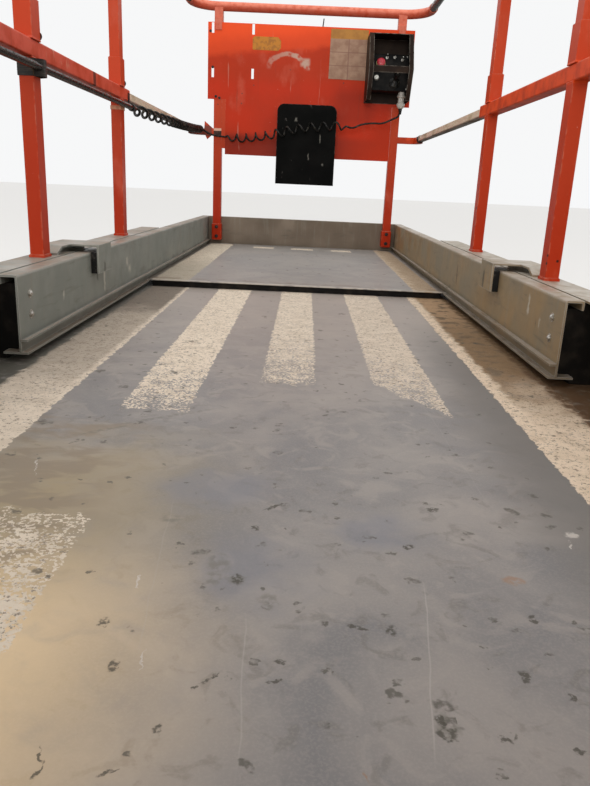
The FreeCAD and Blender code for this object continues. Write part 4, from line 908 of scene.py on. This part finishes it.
# Entry gate: a frame of square tube on two pin hinges that swings in over the deck, with a kick plate.
eased("gate_leaf", 0.0035, rail_orange, "orange_paint", "gate", "gate_frame")
eased("gate_kick_plate", 0.0006, beam_zinc, "galvanised_steel", "gate", "gate_toe_plate", shortest=0.02)
plated = Finish("plated_steel", 0.34, 0.75)
dull = plated.step(plated.noise(45, 4), 0.42, 0.70)
plated_steel = plated.done(plated.over((0.46, 0.45, 0.41), (0.20, 0.17, 0.13), dull), plated.step(dull, -1.0, 1.8))
dress(plated_steel, "gate_hinges")
dress(black_steel, "cable_clips")


# Extension: a deck of folded sheet between two inner beams that roll inside the outer ones on nylon blocks.
# Its strip at the rear edge scrapes over the main deck, and a galvanised board closes the front.
coat, colour = grey_paint("extension_coat")
tray_x, tray_y = coat.axis("X"), coat.axis("Y")
colour = coat.over(colour, (0.330, 0.295, 0.262), 0.35)
colour, blots = small_stains(coat, colour, ((24.0, 0.22, 0.14), (52.0, 0.24, 0.10)))
tray_strips = [(-0.470, -0.352, 0.330, 0.0, 1.815, 0.30, 0.28, (0.69, 0.62, 0.49)),
               (0.382, 0.462, 0.330, 0.0, 1.815, 0.33, 0.30, (0.56, 0.43, 0.29)),
               (-0.240, -0.136, 1.645, 0.0, 1.725, 0.36, 0.30, pale), (-0.047, 0.064, 1.645, 0.0, 1.725, 0.36, 0.30, pale),
               (0.155, 0.257, 1.645, 0.0, 1.725, 0.36, 0.30, pale)]
colour, grit = grit_strips(coat, colour, tray_strips)
near_dirt = coat.sum("MULTIPLY", coat.step(shifted(coat, tray_y, 9, 0.4, 5), 1.25, 0.55), coat.step(tray_x, 0.1, -0.1))
colour = coat.over(colour, (0.230, 0.205, 0.160), coat.sum("MULTIPLY", coat.sum("MULTIPLY", near_dirt, grit), 0.55))
right_dirt = coat.sum("MULTIPLY", grit, coat.step(shifted(coat, tray_x, 30, 0.06), 0.36, 0.42))
colour = coat.over(colour, (0.240, 0.160, 0.090), coat.sum("MULTIPLY", right_dirt, 0.55))
# A dark band along the inner beams: grime and painted shade under their lips.
away_x = shifted(coat, coat.sum("ABSOLUTE", tray_x), 22, 0.030, 5)
colour = coat.over(colour, (0.100, 0.080, 0.056), coat.sum("MULTIPLY", coat.step(away_x, 0.462, 0.478), 0.75))
lip = coat.sum("MULTIPLY", coat.step(shifted(coat, tray_y, 40, 0.010), deck_edge_y + 0.026, deck_edge_y + 0.018),
               coat.step(coat.noise(34, 6), 0.36, 0.50))
colour = coat.over(colour, (0.50, 0.46, 0.40), coat.sum("MULTIPLY", lip, 0.75))
mud = coat.sum("MULTIPLY", coat.band(tray_y, deck_edge_y + 0.030, deck_edge_y + 0.075, 0.015),
               coat.step(coat.noise(15, 5, move=(2, 0, 0)), 0.44, 0.60))
colour = coat.over(colour, (0.180, 0.140, 0.105), coat.sum("MULTIPLY", mud, 0.55))
coat.relief(coat.sum("ADD", coat.sum("MULTIPLY", grit, coat.step(coat.noise(420, 2), 0.2, 0.8)),
                     coat.sum("MULTIPLY", coat.noise(60, 3), 0.12)), 0.45, 0.0010)
extension_coat = coat.done(colour, coat.step(coat.sum("MAXIMUM", grit, blots), -1.35, 1.5))
eased("extension_floor", 0.0010, extension_coat, "deck_paint", "extension", "extension_deck")
slide_zinc = galvanised("slide_zinc", (0.240, 0.255, 0.226), (0.315, 0.215, 0.105), groove_grease_and_shade=0.15)
eased("inner_beams", 0.0008, slide_zinc, "galvanised_steel", "extension", "inner_beam_left", "inner_beam_right")
board_zinc = galvanised("board_zinc", (0.190, 0.150, 0.112), (0.185, 0.142, 0.104), marks=False)
eased("front_board", 0.0008, board_zinc, "galvanised_steel", "extension", "front_toe_board")
greased = Finish("greasy_nylon", 0.5, shine=0.1)
greased.relief(greased.noise(90, 4), 0.2, 0.0005)
greasy_nylon = greased.done(greased.over((0.006, 0.0055, 0.005), (0.022, 0.018, 0.014),
                                         greased.step(greased.noise(24, 4), 0.45, 0.72)))
eased("slide_block_pair", 0.0012, greasy_nylon, "nylon", "extension", "slide_blocks", shortest=0.01)
eased("deck_scraper", 0.0010, greasy_nylon, "nylon", "extension", "deck_slide_strip", shortest=0.02)

web_x, web_back, bolt_y = 0.490, 0.493, -0.6425
bolts("web_bolts", [((side * web_x, bolt_y, z), (-side, 0, 0)) for side in (-1, 1) for z in (0.223, 0.184)],
      0.0125, 0.0022, bolt_steel, "extension", "zinc", sides=24, dome=0.55)
bolts("web_nuts", [((side * web_back, bolt_y, z), (side, 0, 0)) for side in (-1, 1) for z in (0.223, 0.184)],
      0.012, 0.005, bolt_steel, "extension", "zinc", dome=0.2)


# Front frame: two posts in welded sockets, a top rail bent back at both ends and two middle arms. Their
# slide tubes run into the platform's rails, the top ones black and the middle ones bare and greasy.
eased("front_posts", 0.0050, rail_orange, "orange_paint", "extension", "front_post_left", "front_post_right")
eased("sockets", 0.0050, rail_orange, "orange_paint", "extension", "post_sockets", shortest=0.04)
dress(rail_orange, "front_top_rail", "mid_arm_left", "mid_arm_right", "cord_plate")
front_x, socket_y = 0.443, 1.7905
bolts("socket_bolts", [((side * front_x, socket_y, z), (0, -1, 0)) for side in (-1, 1) for z in (0.212, 0.165)],
      0.013, 0.006, black_steel, "extension", "nylon")

tube = Finish("blackened_tube", 0.32, 0.55)
band = tube.step(tube.noise(30, 4, (0.6, 3, 0.6)), 0.50, 0.70)
blackened_tube = tube.done(tube.over((0.040, 0.040, 0.042), (0.16, 0.15, 0.14), band), tube.step(band, -1.2, 2.4))
bare = Finish("bare_greasy_tube", 0.38, 0.30)
grease = bare.step(bare.noise(22, 5, (1, 0.35, 1)), 0.42, 0.68)
# Painted shade: the bare tubes' underside is painted almost black.
shaded_underside = bare.step(bare.axis("Z"), 0.674, 0.668)
bare_colour = bare.over((0.84, 0.74, 0.57), (0.52, 0.38, 0.25), grease)
bare_colour = bare.over(bare_colour, (0.045, 0.028, 0.020), bare.sum("MULTIPLY", shaded_underside, 0.85))
bare.relief(bare.noise(35, 3, (1, 0.3, 1)), 0.2, 0.0006)
bare_greasy_tube = bare.done(bare_colour, bare.step(grease, -1.2, 1.6))
dress(blackened_tube, "top_slide_tubes")
dress(bare_greasy_tube, "mid_slide_tubes")
stop_profile = [(0.0, 0.0160), (0.003, 0.0182), (0.018, 0.0182), (0.021, 0.0160)]
place_piece("tube_stop", spun("tube_stop", stop_profile, (0.5625, 1.690, 0.679), (0, 1, 0)), black_nylon, "extension",
            "nylon")


# Control panel: a sheet of 2 mm steel on the front posts, slotted for straps, with painted sunlight on its upper half
# and painted shade at its foot.
# A blank yellow plate and a blank sheet of card in a foil are stuck on it, and an aerial stub stands behind.
paint, colour, facing = orange("panel_orange", (0.53, 0.034, 0.003), (0.60, 0.030, 0.002), 0.88, 0.98)
px, pz = paint.axis("X"), paint.axis("Z")
# Painted sunlight: a slanted height above which the panel is painted brighter, as a pool of light.
sunlit_height = shifted(paint, paint.sum("ADD", pz, paint.sum("MULTIPLY", px, -0.10)), 12, 0.05)
to_rear = paint.add("SeparateXYZ", {0: paint.add("NewGeometry", {}).outputs["Normal"]}).outputs["Y"]
rear_face = paint.step(to_rear, -0.2, -0.6)
shade = paint.sum("MULTIPLY", paint.band(px, 0.14, 0.33, 0.04), paint.band(pz, 0.735, 0.90, 0.04))
shade = paint.sum("MULTIPLY", shade, rear_face)
colour = paint.over(colour, (0.330, 0.020, 0.003), paint.sum("MULTIPLY", shade, 0.60))
# Painted shade: the panel's foot below z 0.69 is painted darker, most at the left.
shaded_foot_tone = paint.over((0.285, 0.018, 0.003), (0.520, 0.030, 0.003), paint.step(px, -0.10, 0.45))
colour = paint.over(colour, shaded_foot_tone, paint.sum("MULTIPLY", paint.step(pz, 0.690, 0.650), 0.92))
# Painted sunlight on the upper panel, brightest at the top.
colour = paint.over(colour, (0.78, 0.068, 0.012), paint.step(sunlit_height, 1.055, 1.095))
colour = paint.over(colour, (1.0, 0.096, 0.017), paint.step(sunlit_height, 1.09, 1.19))
arch_x = paint.sum("DIVIDE", paint.sum("SUBTRACT", px, -0.105), 0.098)
arch_z = paint.sum("DIVIDE", paint.sum("SUBTRACT", pz, 0.975), 0.073)
arch = paint.sum("SQRT", paint.sum("ADD", paint.sum("MULTIPLY", arch_x, arch_x), paint.sum("MULTIPLY", arch_z, arch_z)))
arch = paint.sum("ADD", arch, paint.sum("MULTIPLY", paint.sum("SUBTRACT", paint.noise(24, 4), 0.5), 0.35))
fat = paint.step(px, -0.20, -0.02)
arm = paint.band(arch, 0.86, 1.10, 0.05)
arm = paint.sum("MULTIPLY", arm, paint.step(pz, 0.972, 0.995))
arm = paint.sum("MULTIPLY", arm, paint.step(px, -0.215, -0.190))
knot = paint.sum("MULTIPLY", paint.band(px, -0.040, 0.004, 0.008), paint.band(pz, 0.996, 1.030, 0.008))
smudge = paint.sum("MULTIPLY", paint.sum("MAXIMUM", paint.sum("MULTIPLY", arm, paint.sum("MULTIPLY_ADD", fat, 0.5)), knot),
                   paint.step(paint.noise(40, 4), 0.28, 0.52))
smudge = paint.sum("MULTIPLY", smudge, rear_face)
colour = paint.over(colour, (0.60, 0.42, 0.33), paint.sum("MULTIPLY", smudge, 0.9))
drip = paint.sum("MULTIPLY", paint.step(paint.noise(1.0, 4, (60, 1, 4)), 0.68, 0.74), 0.45)
colour = paint.over(colour, (0.62, 0.30, 0.22), drip)
panel_orange = paint.done(colour)
eased("panel_sheet", 0.0004, panel_orange, "orange_paint", "extension", "control_panel", shortest=0.02, segments=2)
eased("panel_lugs", 0.0010, rail_orange, "orange_paint", "extension", "panel_tabs", shortest=0.02, segments=2)
panel_y = 1.7935
bolts("panel_bolts", [((x, panel_y, z), (0, -1, 0)) for x, z in ((-0.4535, 0.842), (-0.436, 0.836), (-0.482, 1.135),
                                                                 (-0.470, 0.975), (0.492, 0.86))],
      0.009, 0.003, black_steel, "extension", "nylon")


def flat_plate(name, outline, y_front, thick, material, slot, holes=()):
    """A thin plate in the panel's plane, from its outline of (x, z), with a rounded rim."""
    shape = bmesh.new()
    face = shape.faces.new([shape.verts.new((x, y_front + thick, z)) for x, z in outline])
    moved = bmesh.ops.extrude_face_region(shape, geom=[face])
    bmesh.ops.translate(shape, vec=(0, -thick, 0), verts=[v for v in moved["geom"] if isinstance(v, bmesh.types.BMVert)])
    rim = [edge for edge in shape.edges if all(abs(v.co.y - y_front) < 1e-6 for v in edge.verts)]
    bmesh.ops.bevel(shape, geom=rim, offset=thick * 0.4, segments=2, profile=0.5, affect="EDGES")
    return place_piece(name, closed_mesh(name, shape), material, "extension", slot)


flat_plate("panel_flange", [(-0.4232, 0.600), (-0.4014, 0.600), (-0.4014, 0.833), (-0.4232, 0.833)], panel_y + 0.0004,
           0.0014, rail_orange, "orange_paint")
foil = Finish("yellow_foil", 0.38, shine=0.25)
mottle = foil.step(foil.noise(60, 5), 0.45, 0.66)
foil.relief(foil.noise(180, 2), 0.12, 0.0003)
yellow_foil = foil.done(foil.over((0.58, 0.215, 0.007), (0.40, 0.140, 0.006), mottle))
flat_plate("yellow_plate", [(-0.277, 1.064), (-0.273, 1.060), (-0.152, 1.060), (-0.139, 1.072), (-0.139, 1.104),
                            (-0.154, 1.120), (-0.268, 1.120), (-0.277, 1.111)], panel_y - 0.0012, 0.0012,
           yellow_foil, "orange_paint")
card = Finish("pale_card", 0.42, shine=0.25)
cx, cz = card.axis("X"), card.axis("Z")
tired = card.step(card.noise(26, 5), 0.36, 0.68)
card_colour = card.over((0.43, 0.265, 0.175), (0.32, 0.175, 0.112), tired)
for spot in (1.066, 1.006):
    card_colour = card.over(card_colour, (0.26, 0.13, 0.09), card.sum("MULTIPLY", card.band(cz, spot - 0.002, spot + 0.002,
                                                                                          0.001), 0.8))
card_colour = card.over(card_colour, (0.26, 0.13, 0.09), card.sum("MULTIPLY", card.band(cx, 0.1885, 0.1935, 0.001), 0.8))
header = card.step(cz, 1.124, 1.126)
card_colour = card.over(card_colour, card.over((0.51, 0.228, 0.038), (0.40, 0.170, 0.030), tired), header)
card.relief(card.noise(120, 2), 0.1, 0.0003)
pale_card = card.done(card_colour)
flat_plate("blank_card", [(0.099, 0.945), (0.283, 0.943), (0.283, 1.168), (0.101, 1.168)], panel_y - 0.0012, 0.0012,
           pale_card, "orange_paint")
place_piece("aerial_stub", spun("aerial_stub", [(0, 0.0055), (0.012, 0.0055), (0.013, 0.003), (0.050, 0.0026),
                                                (0.052, 0.0015)], (0.0586, panel_y + 0.006, 1.160), (0.10, 0.0, 1.0), 16),
            black_steel, "extension", "nylon")


# Document box: a deep moulded black plastic case with a rounded top, hung on the panel. Its face is scored
# by hands and tools, and its rim has whitened.
case = Finish("case_plastic", 0.55, shine=0.05)
fine_grain = case.noise(700, 2)
scored = case.step(case.noise(20, 4, (3, 1, 1), warp=0.5, turned=(0, 0.6, 0)), 0.685, 0.715)
rubbed_rim = case.sum("MULTIPLY", case.edges(0.004), case.step(case.noise(50, 4), 0.44, 0.60))
grey_film = case.step(case.noise(6, 3), 0.40, 0.70)
case_colour = case.over((0.0016, 0.0018, 0.0016), (0.0050, 0.0050, 0.0045), grey_film)
case_colour = case.over(case_colour, (0.12, 0.11, 0.10), case.sum("MULTIPLY", case.sum("MAXIMUM", scored, rubbed_rim), 0.55))
kx, kz = case.axis("X"), case.axis("Z")
for x, z, wide, tall in ((0.018, 0.575, 0.002, 0.014), (0.072, 0.660, 0.0022, 0.018), (0.090, 0.540, 0.004, 0.004),
                         (-0.050, 0.745, 0.006, 0.007)):
    nick = case.sum("MULTIPLY", case.band(case.sum("ADD", kx, case.sum("MULTIPLY", case.noise(70, 3), 0.012)), x + 0.006 - wide,
                                          x + 0.006 + wide, 0.002), case.band(kz, z - tall, z + tall, 0.006))
    case_colour = case.over(case_colour, (0.24, 0.23, 0.20), case.sum("MULTIPLY", nick, 0.65))
case.relief(case.sum("ADD", fine_grain, case.noise(160, 3)), 0.25, 0.0005)
case_plastic = case.done(case_colour)
eased("document_case", 0.008, case_plastic, "black_plastic", "extension", "document_box", shortest=0.05, segments=4)


# Control box: a guard folded from sheet, open to the rear, with a bar across its mouth. The console inside
# slopes back and carries a stop button, two toggles, a key switch and a lever with a rubber gaiter.
hood = Finish("guard_coat", 0.48, shine=0.09)
hood_wear = hood.sum("MULTIPLY", hood.edges(0.004), hood.step(hood.noise(45, 5), 0.36, 0.58))
hood_dust = hood.step(hood.noise(9, 4), 0.40, 0.72)
hood_colour = hood.over((0.018, 0.010, 0.007), (0.040, 0.024, 0.015), hood_dust)
hood_colour = hood.over(hood_colour, (0.22, 0.20, 0.17), hood.sum("MULTIPLY", hood_wear, 0.7))
hood.relief(hood.noise(260, 2), 0.15, 0.0004)
guard_coat = hood.done(hood_colour)
eased("guard_hood", 0.0010, guard_coat, "guard_paint", "extension", "control_guard", shortest=0.02)
eased("guard_bar", 0.0010, guard_coat, "guard_paint", "extension", "guard_cross_bar", shortest=0.01, segments=2)
face = Finish("console_plastic", 0.5, shine=0.1)
face.relief(face.noise(500, 2), 0.2, 0.0004)
console_plastic = face.done(face.over((0.007, 0.007, 0.007), (0.022, 0.020, 0.018), face.step(face.noise(20, 4), 0.4, 0.7)))
eased("console_case", 0.005, console_plastic, "black_plastic", "extension", "control_console", shortest=0.05)

console_top, console_top_y, console_lean = 1.055, 1.7205, 0.05 / 0.168
out_of_console = Vector((0, -1, console_lean)).normalized()


def on_console(x, z):
    return Vector((x, console_top_y - (console_top - z) * console_lean, z))


red = Finish("button_red", 0.35)
button_red = red.done(red.over((0.58, 0.030, 0.055), (0.70, 0.14, 0.15), red.step(red.noise(90, 3), 0.5, 0.75)))
cap_profile = [(0.0, 0.0095), (0.010, 0.0095), (0.0105, 0.0170), (0.012, 0.0192), (0.016, 0.0200), (0.020, 0.0192),
               (0.0232, 0.0150), (0.0246, 0.0080), (0.0250, 0.0010)]
place_piece("mushroom_button", spun("mushroom_button", cap_profile, on_console(0.343, 1.010), out_of_console, 40),
            button_red, "extension", "red_plastic", "stop_button")
collar = Finish("collar_yellow", 0.45)
collar_yellow = collar.done(collar.over((0.50, 0.42, 0.17), (0.26, 0.20, 0.10), collar.step(collar.noise(80, 3), 0.4, 0.7)))
place_piece("button_collar", spun("button_collar", [(0.0, 0.0225), (0.0022, 0.0225), (0.0032, 0.0215), (0.0032, 0.0100)],
                                  on_console(0.343, 1.010), out_of_console, 40), collar_yellow, "extension", "red_plastic")
nut_profile = [(0.0, 0.0075), (0.003, 0.0075), (0.0035, 0.0058), (0.006, 0.0055)]
lever_profile = [(0.005, 0.0030), (0.010, 0.0024), (0.022, 0.0034), (0.026, 0.0036), (0.028, 0.0020)]
for i, (x, z, lean) in enumerate(((0.372, 1.038, 0.2), (0.409, 1.040, -0.25), (0.446, 1.030, 0.1))):
    place_piece(f"toggle_nut_{i}", spun(f"toggle_nut_{i}", nut_profile, on_console(x, z), out_of_console, 6),
                bolt_steel, "extension", "zinc")
    place_piece(f"toggle_{i}", spun(f"toggle_{i}", lever_profile, on_console(x, z), out_of_console + Vector((0, 0, lean)),
                                    20), bolt_steel, "extension", "zinc")
gaiter_profile = [(0.0, 0.0260), (0.003, 0.0262)]
for i in range(5):
    gaiter_profile += [(0.005 + 0.006 * i, 0.0235 - 0.0032 * i), (0.009 + 0.006 * i, 0.0245 - 0.0032 * i)]
gaiter_profile += [(0.036, 0.0072), (0.037, 0.0065)]
lever_foot, lever_way = on_console(0.412, 0.925), out_of_console + Vector((0.04, 0, 0.10))
place_piece("lever_gaiter", spun("lever_gaiter", gaiter_profile, lever_foot, lever_way), cord_rubber, "extension",
            "cord_rubber")
grip_profile = [(0.034, 0.0060), (0.040, 0.0105), (0.052, 0.0125), (0.066, 0.0125), (0.076, 0.0150), (0.084, 0.0150),
                (0.089, 0.0120), (0.091, 0.0050)]
place_piece("lever_grip", spun("lever_grip", grip_profile, lever_foot, lever_way, 40), console_plastic, "extension",
            "black_plastic")
place_piece("lever_switch", spun("lever_switch", [(0.089, 0.0055), (0.094, 0.0055), (0.0955, 0.0042)], lever_foot, lever_way,
                                 24), connector_shell, "extension", "grey_plastic")
place_piece("key_switch", spun("key_switch", [(0.0, 0.0125), (0.004, 0.0125), (0.005, 0.0105), (0.008, 0.0100),
                                              (0.0082, 0.0040)], on_console(0.325, 0.945), out_of_console), bolt_steel,
            "extension", "zinc")
bolts("guard_bar_bolts", [((x, 1.5835, 0.970), (0, -1, 0)) for x in (0.2905, 0.4725)], 0.009, 0.003, bolt_steel,
      "extension", "zinc")
bolts("console_screws", [(on_console(x, z), tuple(out_of_console)) for x in (0.294, 0.469) for z in (1.045, 0.897)],
      0.006, 0.0018, bolt_steel, "extension", "zinc", sides=16)


# Small fittings: the gland where the cable enters the rear beam, and a rubber band and a strap on two posts.
dress(black_nylon, "cable_gland")
strap = Finish("old_rubber", 0.6, shine=0.2)
perished = strap.step(strap.noise(60, 4), 0.40, 0.66)
strap.relief(strap.noise(200, 3), 0.3, 0.0006)
sleeve = strap.over((0.078, 0.050, 0.024), (0.042, 0.028, 0.014), perished)
webbing = strap.over((0.64, 0.30, 0.185), (0.44, 0.19, 0.11), perished)
old_rubber = strap.done(strap.over(sleeve, webbing, strap.step(strap.axis("Y"), -0.05, 0.05)))
eased("post_sleeves", 0.0030, old_rubber, "band_rubber", "platform", "post_bands", shortest=0.003)

# Black tape, wound round the left post and the cable beside it.
wrap = Finish("wound_tape", 0.40, shine=0.2)
layers = wrap.noise(1.0, 3, (30, 30, 420))
wrap.relief(layers, 0.5, 0.0006)
wound_tape = wrap.done(wrap.over((0.016, 0.015, 0.013), (0.060, 0.048, 0.036), wrap.step(layers, 0.48, 0.66)))


def wound(name, around, middle, low, high, thick, material, body):
    """A closed band of this thickness round the outline of (x, y) about the middle."""
    shape, walls = bmesh.new(), []
    for shrink in (0.0, thick):
        loop = [(middle[0] + x - math.copysign(shrink, x), middle[1] + y - math.copysign(shrink, y)) for x, y in around]
        walls.append([[shape.verts.new((x, y, z)) for x, y in loop] for z in (low, high)])
    (outer_low, outer_high), (inner_low, inner_high) = walls
    for k in range(len(around)):
        n = (k + 1) % len(around)
        shape.faces.new((outer_low[k], outer_low[n], outer_high[n], outer_high[k]))
        shape.faces.new((inner_low[n], inner_low[k], inner_high[k], inner_high[n]))
        shape.faces.new((outer_high[k], outer_high[n], inner_high[n], inner_high[k]))
        shape.faces.new((outer_low[n], outer_low[k], inner_low[k], inner_low[n]))
    place_piece(name, closed_mesh(name, shape), material, body, "band_rubber")


wound("post_tape", [(-0.0170, -0.0222), (0.0135, -0.0222), (0.0310, -0.0120), (0.0338, -0.0060), (0.0338, 0.0060),
                    (0.0310, 0.0120), (0.0135, 0.0222), (-0.0170, 0.0222)], (-0.560, -0.3895), 0.628, 0.6612, 0.0011,
      wound_tape, "platform")
tie = Finish("tie_rubber", 0.45, shine=0.2)
tie.relief(tie.noise(200, 3), 0.2, 0.0004)
tie_dark = tie.over((0.040, 0.014, 0.010), (0.100, 0.042, 0.030), tie.step(tie.noise(60, 4), 0.42, 0.66))
tie_rubber = tie.done(tie.over(tie_dark, (0.80, 0.46, 0.34), tie.step(tie.axis("Z"), 0.6815, 0.6830)))
wound("lead_tie", [(-0.0178, -0.0212), (0.0178, -0.0212), (0.0212, -0.0178), (0.0212, 0.0178), (0.0178, 0.0212),
                   (-0.0178, 0.0212), (-0.0212, 0.0178), (-0.0212, -0.0178)], (-front_x, 1.8155), 0.6600, 0.6940, 0.0011,
      tie_rubber, "extension")
